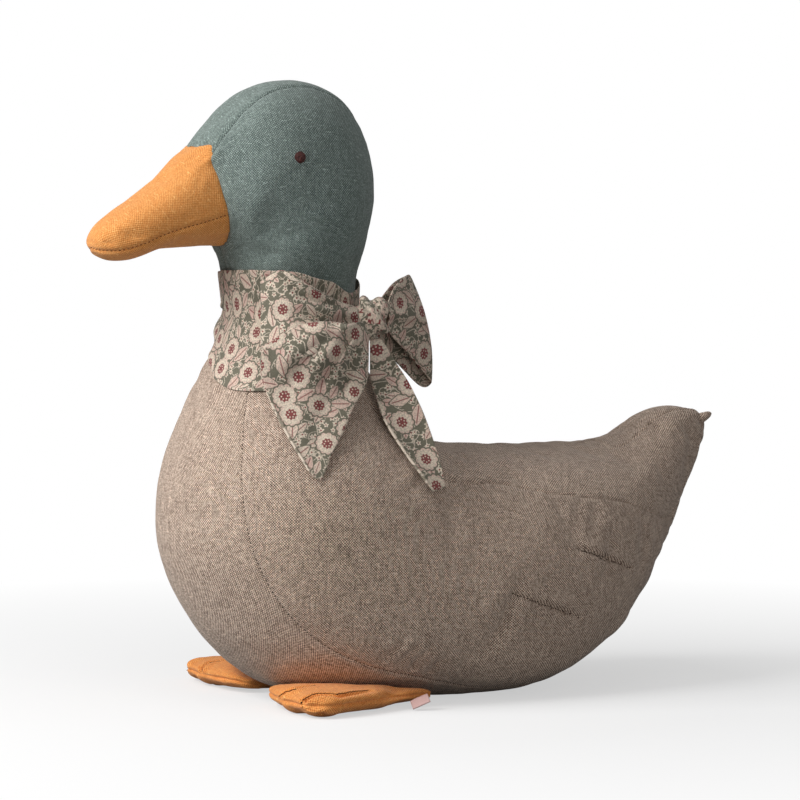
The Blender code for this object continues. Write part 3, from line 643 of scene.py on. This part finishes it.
nub_middle = (0.004, 0.1885, 0.1508)
nub_width, nub_length, nub_height = 0.0068, 0.0125, 0.0062
nub_rise = 0.35
bpy.ops.object.select_all(action="DESELECT")
bpy.ops.mesh.primitive_uv_sphere_add(segments=20, ring_count=12, radius=0.5)
nub = bpy.context.object
nub.name = "tail_nub"
places = places_of(nub)
slim = 1.0 - 0.15 * np.clip(places[:, 1] * 2.0, 0.0, 1.0)
rise = nub_rise * places[:, 1] * nub_length
places *= np.stack([nub_width * slim, np.full(len(slim), nub_length), nub_height * slim], axis=1)
places[:, 2] += rise
places += np.array(nub_middle)
put_places(nub, places + normals_of(nub) * (0.0003 * ripples(places, 0.002, 5))[:, None])
flat = nub.data.uv_layers.new(name="cloth").data
for corner in nub.data.loops:
    place = nub.data.vertices[corner.vertex_index].co
    flat[corner.index].uv = (place.y, place.z)
dress(nub, body_linen, "duck", "body_linen")

# The head
# Three panels of fine teal linen: one to each side and a strip over the crown, from the
# beak to the nape. It is stuffed firmly and sewn to the neck under the scarf.

head_panels = ("left_head_panel", "right_head_panel", "head_gusset")
head_form = copy_of("head_filling", "head_form", head_panels, panel_gap)
lay_flat(head_form)
round_out(head_form, 2, keep=3)
swell(head_form, cap=0.002, growth=0.006)
round_out(head_form, 1)
sew(head_form, cloth_out, depth=0.0008, width=0.0010, puff=0.0002, pucker=0.0002)
head_tones = shade(38, 49, 46), shade(101, 114, 109), shade(178, 193, 186)
head_linen = linen("head_linen", *head_tones, thread=0.00062, contrast=0.75)
head_thread = twisted("head_thread", shade(22, 28, 27))
crown = head_panels.index("head_gusset")
crown_lines = seam_lines(head_form, crown, 0) + seam_lines(head_form, crown, 1)
crown_size = (0.0018, 0.0005, 0.0005)
stitch("crown_stitches", head_form, crown_lines, 0.0024, crown_size, head_thread, "head_linen")
head_cloth = surface_of(head_form)
part_panels(head_form, head_panels, "duck", "head_linen", head_linen, "head_filling")

# The eyes
# A knot of dark brown embroidery thread on each side of the head, wound a few times
# over itself and pulled in, so that the linen dips a little round it.

eye_thread = Finish("eye_thread", 0.55)
place = eye_thread.node("ShaderNodeTexCoord", out="Object")
wound = {"Vector": place, "Scale": 900.0, "Distortion": 2.0}
turns = eye_thread.node("ShaderNodeTexWave", {"wave_type": "BANDS"}, wound)
eye_colour = eye_thread.mix(turns, (*shade(38, 16, 14), 1.0), (*shade(86, 40, 34), 1.0))
eye_finish = eye_thread.show(eye_colour, turns, 0.0003, 0.8)
eye_growth = 1.12
eye_drop = 0.0012
for node in ("left_eye", "right_eye"):
    eye = copy_of(node, f"{node}_knot")
    round_out(eye, 2)
    places = places_of(eye)
    middle = places.mean(axis=0)
    places = middle + (places - middle) * eye_growth - np.array((0.0, 0.0, eye_drop))
    put_places(eye, places + normals_of(eye) * (0.0004 * ripples(places, 0.0012, 4))[:, None])
    dress(eye, eye_finish, "duck", "eye_thread", node)

# The beak
# An upper and a lower panel of ochre linen, seamed along the sides to a rounded tip,
# stuffed, and sewn to the front of the head by hand.

beak_panels = ("upper_beak_panel", "lower_beak_panel")
beak_form = copy_of("beak_filling", "beak_form", beak_panels, panel_gap)
lay_flat(beak_form)
round_out(beak_form, 2, keep=3)
swell(beak_form, cap=0.0015, growth=0.004)
round_out(beak_form, 1)
sew(beak_form, cloth_out, depth=0.0005, width=0.0009, puff=0.0002, pucker=0.0002)

# its upper corners reach up the head, and its rim is drawn down onto the head
places = places_of(beak_form)
used = np.zeros(len(beak_form.data.edges), int)
for loop in beak_form.data.loops:
    used[loop.edge_index] += 1
open_edges = [beak_form.data.edges[number] for number in np.nonzero(used == 1)[0]]
rim = {number for edge in open_edges for number in edge.vertices}
ends = finder((number, places[number]) for number in rim)
for corner in np.array([(0.0175, -0.1290, 0.3105), (-0.0175, -0.1290, 0.3105)]):
    nearest = places[ends.find(corner)[1]]
    reach = np.linalg.norm(places - nearest, axis=1, keepdims=True)
    places = places + (corner - nearest) * np.exp(-((reach / 0.0065) ** 2))
drawn = places.copy()
for number, place in enumerate(places):
    _, end, far = ends.find(place)
    if far < 0.014:
        met, normal, _, _ = head_cloth.find_nearest(places[end])
        pull = np.array(met - normal * 0.0006) - places[end]
        drawn[number] += pull * math.exp(-((far / 0.006) ** 2))
put_places(beak_form, drawn)
beak_tones = shade(164, 92, 38), shade(222, 144, 72), shade(255, 204, 130)
beak_linen = linen("beak_linen", *beak_tones, thread=0.00064, contrast=0.55)
beak_thread = twisted("beak_thread", shade(120, 62, 26))
beak_lines = seam_lines(beak_form, 0, 1)
beak_size = (0.0014, 0.0008, 0.0005)
stitch("beak_stitches", beak_form, beak_lines, 0.0024, beak_size, beak_thread, "beak_linen")
part_panels(beak_form, beak_panels, "duck", "beak_linen", beak_linen, "beak_filling")

# The feet
# Flat pads of ochre linen, each a top and a sole sewn round the edge and lightly
# stuffed, with two lines stitched through from the front edge to part the toes.

foot_tones = shade(150, 76, 30), shade(236, 145, 70), shade(255, 204, 124)
foot_linen = linen("foot_linen", *foot_tones, thread=0.00066, contrast=0.65)
foot_thread = twisted("foot_thread", shade(66, 32, 14))
# the two toe lines, then the dip before the heel
toe_lines = (
    crease(
        3.0, 1.3, 1.6,
        (85, -107, 8), (84, -103, 11), (84, -96, 15), (88, -84, 14), (79, -61, 15),
    ),
    crease(2.8, 1.3, 1.4, (58, -108, 9), (60, -104, 12), (63, -98, 14), (60, -86, 16)),
    crease(3.6, 6.5, 0.0, (98, -50, 10), (84, -46, 13), (68, -40, 13)),
)
toe_size = (0.0016, 0.0005, 0.0005)
foot_press = 0.76  # of its height above what rests, as the belly presses it
edge_dip = {"depth": 0.0009, "width": 0.0010, "puff": 0.0003}
for side, word in ((1, "left"), (-1, "right")):
    foot = f"{word}_foot"
    foot_panels = (f"{foot}_top", f"{foot}_sole")
    foot_form = copy_of(f"{foot}_filling", f"{foot}_form", foot_panels)
    lay_flat(foot_form)
    round_out(foot_form, 3, keep=2)
    creases = creased(toe_lines, side)
    sew(foot_form, 0.0010, **edge_dip, pucker=0.0004, creases=creases)
    places = places_of(foot_form)
    above = places[:, 2] > resting
    places[above, 2] = resting + (places[above, 2] - resting) * foot_press
    put_places(foot_form, places)
    toes = [line for line, _, width, _ in creases if width < 0.002]
    row = (toes, 0.0012, toe_size, foot_thread, "foot_linen", foot)
    stitch(f"{word}_toe_stitches", foot_form, *row)
    part_panels(foot_form, foot_panels, foot, "foot_linen", foot_linen, f"{foot}_filling")

# The label
# A short pale pink satin ribbon, folded in half and caught in the left foot's heel
# seam. It is blank.

ribbon = Finish("label_ribbon", 0.45, 0.3)
place = ribbon.node("ShaderNodeTexCoord", out="Object")
ribs = {"Vector": place, "Scale": 700.0, "Distortion": 0.6}
satin = ribbon.node("ShaderNodeTexWave", {"bands_direction": "Y"}, ribs)
pink = ribbon.mix(satin, (*shade(206, 166, 160), 1.0), (*shade(226, 190, 184), 1.0))
label_middle = places_of(copy_of("foot_label", "label_outline")).mean(axis=0)
bpy.ops.object.delete()
label_run = np.array((0.385, 0.826, 0.412))
label_out = np.array((0.88, -0.18, -0.44))
label_out -= label_run * (label_out @ label_run)
label_out /= np.linalg.norm(label_out)
label_up = np.cross(label_run, label_out)
ribbon_width = 0.0105
ribbon_length = 0.0150
fold_radius = 0.00042
fold_reach = 0.0032
bpy.ops.mesh.primitive_grid_add(x_subdivisions=48, y_subdivisions=16, size=1.0)
label = bpy.context.object
label.name = "foot_label_ribbon"
label.data.uv_layers.new(name="cloth")
folded = []
for along, across, _ in places_of(label):
    run = along * ribbon_length
    bend = max(-math.pi / 2.0, min(math.pi / 2.0, run / fold_radius))
    straight = abs(run) - abs(bend) * fold_radius
    out = fold_reach + fold_radius * math.cos(bend) - straight
    bulge = 1.0 + 0.5 * math.cos(math.pi * across) * min(1.0, straight / 0.003)
    rise = fold_radius * math.sin(bend) * bulge
    beside = label_middle + label_run * across * ribbon_width
    folded.append(beside + label_out * out + label_up * rise)
put_places(label, np.array(folded))
wall = label.modifiers.new("ribbon", "SOLIDIFY")
wall.thickness = 0.00025
wall.offset = 0.0
select_only(label)
bpy.ops.object.modifier_apply(modifier=wall.name)
dress(label, ribbon.show(pink, satin, 0.0001, 0.4), "left_foot", "label_ribbon", "foot_label")

# The scarf
# A strip of fine printed cotton with narrow turned hems, wound once round the neck
# over the seam between head and body and tied at its left side in a bow.

bow_across = np.array(Vector((0.4226, 0.9063, 0.0)))
bow_facing = np.array(Vector((0.9063, -0.4226, 0.0)))
knot_middle = np.array(Vector((0.0422, -0.0443, 0.215)))


def flower_print(name):
    """Cotton printed with round blossoms, veined leaves, vines and small white stars."""
    finish = Finish(name, 0.85, 0.1)
    flat = finish.node("ShaderNodeUVMap", {"uv_map": "cloth"})
    sage = (*shade(116, 112, 96), 1.0)
    cream = (*shade(230, 214, 194), 1.0)
    blush = (*shade(222, 188, 174), 1.0)
    wine = (*shade(138, 66, 66), 1.0)

    def motifs(size, shift, randomness):
        """A cell for each motif: distance, across and up from its middle, and a chance."""
        vector = finish.stretch(flat, (1.0 / size,) * 3, shift)
        settings = {"voronoi_dimensions": "2D", "feature": "F1"}
        sockets = {"Vector": vector, "Scale": 1.0, "Randomness": randomness}
        cell = finish.node("ShaderNodeTexVoronoi", settings, sockets)
        spread = {0: vector, 1: cell.other("Position")}
        local = finish.node("ShaderNodeVectorMath", {"operation": "SUBTRACT"}, spread)
        apart = finish.node("ShaderNodeSeparateXYZ", {}, {0: local})
        chance = finish.node("ShaderNodeSeparateXYZ", {}, {0: cell.other("Color")})
        return cell, apart, apart.other(1), chance

    tint = sage
    for scale, shift in ((120.0, (3.0, 9.0, 0.0)), (95.0, (40.0, 21.0, 0.0))):
        bends = finish.noise(finish.stretch(flat, (scale, scale, 0.0), shift), 0.0)
        vine = finish.sum("ABSOLUTE", bends - 0.5)
        tint = finish.mix(finish.step(vine, 0.024, 0.012) * 0.8, tint, cream)

    for size, shift in ((0.0052, (1.9, 6.2, 0.0)), (0.0066, (8.1, 4.4, 0.0))):
        reach, across, upward, _ = motifs(size, shift, 1.0)
        star = finish.sum("COSINE", finish.sum("ARCTAN2", upward, across) * 5.0) * 0.07 + 0.24
        tint = finish.mix(finish.step(reach - star, 0.04, -0.04), tint, cream)
        tint = finish.mix(finish.step(reach, 0.10, 0.06), tint, wine)

    for size, shift in ((0.0122, (3.3, 1.7, 0.0)), (0.0165, (12.6, 7.1, 0.0))):
        _, across, upward, chance = motifs(size, shift, 0.9)
        cosine = finish.sum("COSINE", chance * 6.283)
        sine = finish.sum("SINE", chance * 6.283)
        along = across * cosine + upward * sine
        beside = upward * cosine - across * sine
        half_width = 0.21 - finish.sum("ABSOLUTE", along) * 0.24
        leaf = (along / 0.40) ** 2.0 + (beside / half_width) ** 2.0
        vein = finish.step(finish.sum("ABSOLUTE", beside), 0.030, 0.015)
        vein = vein * finish.step(leaf, 0.8, 0.5)
        tint = finish.mix(finish.step(leaf, 1.35, 1.20), tint, sage)
        tint = finish.mix(finish.step(leaf, 1.0, 0.86), tint, finish.mix(chance, cream, blush))
        tint = finish.mix(vein * 0.8, tint, wine)

    reach, across, upward, _ = motifs(0.0205, (0.2, 0.6, 0.0), 0.55)
    turn = finish.sum("ARCTAN2", upward, across)
    scallop = finish.sum("ABSOLUTE", finish.sum("COSINE", turn * 5.5)) * 0.045 + 0.295
    inside = scallop - reach
    bloom = finish.step(inside, -0.008, 0.010)
    petals = finish.mix(finish.step(reach, 0.24, 0.36), cream, blush)
    tint = finish.mix(finish.step(inside, -0.050, -0.035), tint, sage)
    tint = finish.mix(bloom, tint, petals)
    lines = finish.step(finish.sum("ABSOLUTE", finish.sum("SINE", turn * 5.5)), 0.14, 0.04)
    tint = finish.mix(lines * bloom * finish.step(reach, 0.15, 0.19) * 0.35, tint, wine)
    ragged = finish.sum("COSINE", turn * 9.0) * 0.016 + 0.150
    tint = finish.mix(finish.step(reach - ragged, 0.014, -0.014), tint, wine)
    dots = finish.step(finish.sum("COSINE", turn * 6.0), 0.0, 0.5)
    ring = finish.step(finish.sum("ABSOLUTE", reach - 0.085), 0.026, 0.012)
    tint = finish.mix(dots * ring, tint, cream)

    weave = finish.weave(flat, 2200.0)
    fade = finish.noise(finish.stretch(flat, (1100.0, 1100.0, 0.0)), 2.0)
    shadow = (*shade(90, 84, 72), 1.0)
    tint = finish.mix((0.62 - fade) * 1.4 + weave * 0.06, tint, shadow)
    return finish.show(tint, weave + fade, 0.0002, 0.4)


def lay_scarf_flat(piece):
    """Flat patterns in metres for a piece of the scarf, cut along its thin edges."""
    select_only(piece)
    bpy.ops.object.mode_set(mode="EDIT")
    bpy.ops.mesh.select_all(action="DESELECT")
    bpy.ops.mesh.edges_select_sharp(sharpness=math.radians(55))
    bpy.ops.mesh.mark_seam(clear=False)
    bpy.ops.object.mode_set(mode="OBJECT")
    piece.data.materials.append(None)
    lay_flat(piece)


def wrap_flat(band):
    """A flat pattern for the band, unrolled about the neck and cut at the far side."""
    neck_radius = 0.060
    slope_up, slope_out = 0.88, 0.48
    flat = band.data.uv_layers["cloth"].data
    middle = places_of(band).mean(axis=0)
    for face in band.data.polygons:
        facing = math.atan2(face.center.x - middle[0], middle[1] - face.center.y)
        for loop in face.loop_indices:
            place = band.data.vertices[band.data.loops[loop].vertex_index].co
            bearing = math.atan2(place.x - middle[0], middle[1] - place.y)
            bearing += math.tau * round((facing - bearing) / math.tau)
            outward = math.hypot(place.x - middle[0], place.y - middle[1])
            flat[loop].uv = (bearing * neck_radius, place.z * slope_up - outward * slope_out)


def rising(value, start, over):
    """0 up to start and 1 from start + over on, even between."""
    return np.clip((value - start) / over, 0.0, 1.0)


def pleats(places, count, reach, depth, lean):
    """Folds that spread from the knot and fade with distance from it."""
    apart = places - knot_middle
    across = apart @ bow_across
    upward = apart[:, 2]
    far = np.hypot(across, upward)
    angle = np.arctan2(upward, across)
    wave = np.sin(angle * count + lean + 14.0 * far)
    return depth * wave * np.exp(-far / reach) * rising(far, 0.006, 0.010)


def fold(depth, width, puff, *line):
    """A crease over the bow, each place across and up from the knot's middle."""
    line, *sizes = crease(depth, width, puff, *line)
    over_bow = knot_middle + bow_facing * 0.010
    return [over_bow + bow_across * across + (0.0, 0.0, up) for across, up in line], *sizes


def hem(cloth, low, high, body):
    """A narrow turned hem along the edge of a tail that is nearer the head."""
    places = places_of(cloth)
    across = places @ bow_across
    spots = []
    for level in np.linspace(high, low, 22):
        near = np.nonzero(np.abs(places[:, 2] - level) < 0.0022)[0]
        edge = near[across[near] < across[near].min() + 0.0012]
        spots.append(places[edge[np.argmax(places[edge] @ bow_facing)]])
    spots = np.array(spots)
    spots[1:-1] = (spots[:-2] + spots[1:-1] * 2.0 + spots[2:]) / 4.0
    bpy.ops.object.select_all(action="DESELECT")
    path = bpy.data.curves.new("hem", "CURVE")
    path.dimensions = "3D"
    path.bevel_depth = 0.0008
    path.bevel_resolution = 2
    path.use_fill_caps = True
    run = path.splines.new("POLY")
    run.points.add(len(spots) - 1)
    for point, spot in zip(run.points, spots):
        point.co = (*(spot + bow_facing * 0.0003), 1.0)
    made = bpy.data.objects.new(f"{cloth.name}_hem", path)
    bpy.context.scene.collection.objects.link(made)
    select_only(made)
    bpy.ops.object.convert(target="MESH")
    made = bpy.context.object
    dress(made, hem_cotton, body, "scarf_cotton")
    return made


scarf_cotton = flower_print("scarf_cotton")
wrong_side = Finish("hem_cotton", 0.9, 0.1)
place = wrong_side.node("ShaderNodeTexCoord", out="Object")
spots = wrong_side.stretch(place, (330.0,) * 3)
blots = wrong_side.noise(spots, 2.0, "3D")
hem_tones = (*shade(222, 206, 188), 1.0), (*shade(140, 130, 114), 1.0)
faded = wrong_side.mix(wrong_side.step(blots, 0.50, 0.58), *hem_tones)
hem_cotton = wrong_side.show(faded, blots, 0.0002, 0.4)

loop_folds = (
    fold(4.0, 1.7, 1.2, (-50, 25), (-44.6, 21), (-36.3, 13.3), (-28, 10), (-17, 7.5)),
    fold(1.4, 4.0, 0.8, (-50, 4), (-36, -1), (-22, -3), (-12, -2)),
    fold(1.2, 3.0, 0.8, (-52, -8), (-40, -10), (-26, -8), (-12, -5)),
)
tail_folds = (
    fold(4.0, 2.0, 1.6, (-4, -3), (-10.5, -8.5), (-14.5, -15.5), (-20.5, -23), (-27, -36)),
    fold(3.4, 1.8, 1.4, (-4.5, -6), (-8.5, -16), (-12, -26), (-15, -42)),
    fold(2.6, 1.8, 1.0, (-1, -6), (0.2, -20), (-1, -40)),
    fold(1.8, 3.2, 1.2, (-16, -6), (-26, -12), (-38, -24), (-44, -36)),
    fold(1.2, 4.0, 0.8, (-20, -40), (-28, -55), (-30, -72)),
)
rear_folds = (
    fold(3.4, 1.8, 1.4, (10, -1), (17, -3), (25, -4.5), (33, -6)),
    fold(1.4, 3.0, 0.8, (8, 6), (18, 10), (30, 14)),
    fold(1.6, 2.6, 0.8, (8, -8), (14, -18), (22, -30)),
)
# node, body, pleats' count, reach, depth and lean, flat width and length, area, what it
# rests on, folds
scarf_pieces = (
    ("neckband", "duck", (0.0, 0.030, 0.0, 0.0), (0.040, 0.300), None, "left_side_panel", ()),
    ("front_loop", "duck", (9.0, 0.032, 0.0030, 0.4), (0.050, 0.098), None, "neckband", loop_folds),
    ("rear_loop", "duck", (7.0, 0.030, 0.0022, 1.0), (0.050, 0.078), None, "bow_knot", rear_folds),
    (
        "front_tail", "front_tail", (9.0, 0.034, 0.0022, 2.0), (0.056, 0.110), 0.0039,
        "left_side_panel", tail_folds,
    ),
    (
        "rear_tail", "rear_tail", (8.0, 0.040, 0.0016, 0.0), (0.026, 0.110), 0.0017,
        "left_side_panel", (),
    ),
)
deepest = -0.0010  # a fold that went deeper would cut into what it lies on
for node, body, pleating, flat, area, under, folds in scarf_pieces:
    cloth = copy_of(node, f"{node}_cloth")
    lay_scarf_flat(cloth)
    if node == "neckband":
        wrap_flat(cloth)
    round_out(cloth, 2)
    places = places_of(cloth)
    moves = pleats(places, *pleating) + 0.0006 * ripples(places, 0.016, 6)
    facing = np.tile(bow_facing, (len(places), 1))
    for line, *sizes in folds:
        gaps, fade = off_line(places, facing, line, 0.08)
        moves += groove(gaps, *sizes) * fade + 0.0009 * fade * np.exp(-gaps / 0.006)
    aside = (places - knot_middle) @ bow_across
    below = places[:, 2] - knot_middle[2]
    if node == "front_loop":
        # its middle stands out, and its far upper corner more
        share = rising(-aside, 0.0, 0.060)
        moves += 0.0020 * np.sin(math.pi * share) + 0.0050 * share**2 * rising(below, -0.012, 0.020)
    if folds:
        # pulled tight, the bow stands up round its knot
        moves += 0.0028 * np.exp(-((np.hypot(aside, below) / 0.042) ** 2))
    if node == "front_tail":
        # its top tucks in under the knot
        moves -= 0.0016 * rising(below, -0.006, 0.005)
    places += bow_facing * np.maximum(moves, deepest)[:, None]
    if node == "rear_tail":
        # its upper part lies closer to the front tail
        near = rising(below, -0.044, 0.012) * rising(-aside, -0.010, 0.008)
        places -= bow_across * (0.0015 * near)[:, None]
    if node == "rear_loop":
        # its lower part lies closer to the knot
        near = rising(-below, 0.0, 0.012) * rising(-aside, -0.020, 0.012)
        places -= bow_across * (0.0030 * near)[:, None]
    if node == "neckband":
        middle = places.mean(axis=0)
        outward = (places - middle) * (1.0, 1.0, 0.0)
        outward /= np.linalg.norm(outward, axis=1, keepdims=True)
        level = (places[:, 2] - places[:, 2].min()) / np.ptp(places[:, 2])
        puff = 0.0012 * np.sin(math.pi * level) * rising(-places[:, 1], -middle[1], 0.030)
        places += outward * puff[:, None]
    put_places(cloth, places)
    if node == "neckband":
        # round the far side of the neck its lower edge rides up along the body
        band = places_of(cloth)
        x, y, z = band.T
        far_side = rising(-x, -0.012, 0.022) * rising(-y, 0.045, 0.020)
        lift = 0.012 * far_side * rising(-z, -0.222, 0.030)
        for number in np.nonzero(lift > 0.0)[0]:
            place = Vector(band[number])
            beneath, normal, _, _ = body_cloth.find_nearest(place)
            gap = (place - beneath).dot(normal)
            raised = place + Vector((0.0, 0.0, lift[number]))
            beneath, normal, _, _ = body_cloth.find_nearest(raised)
            band[number] = beneath + normal * max(gap, 0.0006)
        put_places(cloth, band)
    dress(cloth, scarf_cotton, body, "scarf_cotton", node)
    if "tail" in node:
        low, high = places[:, 2].min() + 0.004, places[:, 2].max() - 0.045
        hem(cloth, low, high, body)

# The knot
# The scarf's strip drawn through itself once and pulled down to a small pleated lump at
# the left side of the neck.

knot = copy_of("bow_knot", "bow_knot_cloth")
lay_scarf_flat(knot)
round_out(knot, 2)
places = places_of(knot)
apart = places - knot_middle
slant = (apart @ bow_across) * 0.75 + apart[:, 2] * 0.45
folds = 0.0016 * np.sin(slant * 760.0 + 2.5 * ripples(places, 0.02, 8))
folds += 0.0004 * ripples(places, 0.006, 9)
put_places(knot, places + normals_of(knot) * folds[:, None])
dress(knot, scarf_cotton, "duck", "scarf_cotton", "bow_knot")

# The floor, the light and the camera
# A plain pale floor that fades to white, under soft light from the upper left, seen from
# the photograph's side.

bpy.ops.object.select_all(action="DESELECT")
bpy.ops.mesh.primitive_plane_add(size=12.0, location=(0.0, 0.0, 0.0))
floor = bpy.context.object
floor.name = "floor"
# the camera sees it fade to white, and the light that it throws back is dimmer
paper = Finish("paper", 1.0, specular=0.0)
looked_at = paper.node("ShaderNodeLightPath", out="Is Camera Ray")
grey = paper.mix(looked_at, (0.35, 0.35, 0.35, 1.0), (0.95, 0.95, 0.95, 1.0))
paper.feed(paper.shader.inputs["Base Color"], grey)
spot = {0: paper.node("ShaderNodeTexCoord", out="Object")}
away = paper.node("ShaderNodeVectorMath", {"operation": "LENGTH"}, spot, "Value")
reach = {"Value": away, "From Min": 0.20, "From Max": 0.62, "To Min": 0.55}
fade = paper.node("ShaderNodeMapRange", {}, reach)
matt = Value(paper, paper.shader.outputs[0])
glow = paper.node("ShaderNodeEmission")
faded = paper.node("ShaderNodeMixShader", {}, {0: fade * looked_at, 1: matt, 2: glow})
paper.feed(paper.tree.nodes["Material Output"].inputs[0], faded)
floor.data.materials.append(paper.material)

world = bpy.data.worlds.new("studio")
bpy.context.scene.world = world
world.use_nodes = True
sky = Nodes(world.node_tree)
all_white = (1.0, 1.0, 1.0, 1.0)
soft = sky.tree.nodes["Background"]
soft.inputs["Color"].default_value = all_white
soft.inputs["Strength"].default_value = 0.14
white = sky.node("ShaderNodeBackground", {}, {"Color": all_white})
ray = sky.node("ShaderNodeLightPath", out="Is Camera Ray")
seen = sky.sum("MAXIMUM", ray, ray.other("Is Glossy Ray"))
seen = sky.sum("MAXIMUM", seen, ray.other("Is Transmission Ray"))
lit = {0: seen, 1: Value(sky, soft.outputs[0]), 2: white}
sky.feed(sky.tree.nodes["World Output"].inputs[0], sky.node("ShaderNodeMixShader", {}, lit))


def way_to(bearing, height):
    """The way out at a bearing from the duck's front towards its left, in degrees."""
    turn, rise = math.radians(bearing), math.radians(height)
    level = math.cos(rise)
    return Vector((math.sin(turn) * level, -math.cos(turn) * level, math.sin(rise)))


look_at = Vector((0.0, -0.0064, 0.166))
# name, bearing, height angle, distance, size, power
for name, bearing, height, away, size, power in (
    ("key", 4.0, 31.0, 1.5, 0.9, 24.0),
    ("top", 60.0, 78.0, 1.5, 1.2, 2.8),
    ("fill", 88.0, 14.0, 1.8, 1.4, 5.6),
):
    aim = way_to(bearing, height)
    bpy.ops.object.light_add(type="AREA", location=look_at + aim * away)
    lamp = bpy.context.object
    lamp.name = name
    lamp.data.size = size
    lamp.data.energy = power
    lamp.rotation_euler = (-aim).to_track_quat("-Z", "Y").to_euler()

camera_distance = 2.2
aim = way_to(65.0, 3.5)
bpy.ops.object.camera_add(location=look_at + aim * camera_distance)
camera = bpy.context.object
camera.rotation_euler = (-aim).to_track_quat("-Z", "Y").to_euler()
camera.data.sensor_width = 36.0
camera.data.lens = 173.7
camera.data.clip_start = 0.05
bpy.context.scene.camera = camera
bpy.context.scene.view_settings.view_transform = "Standard"
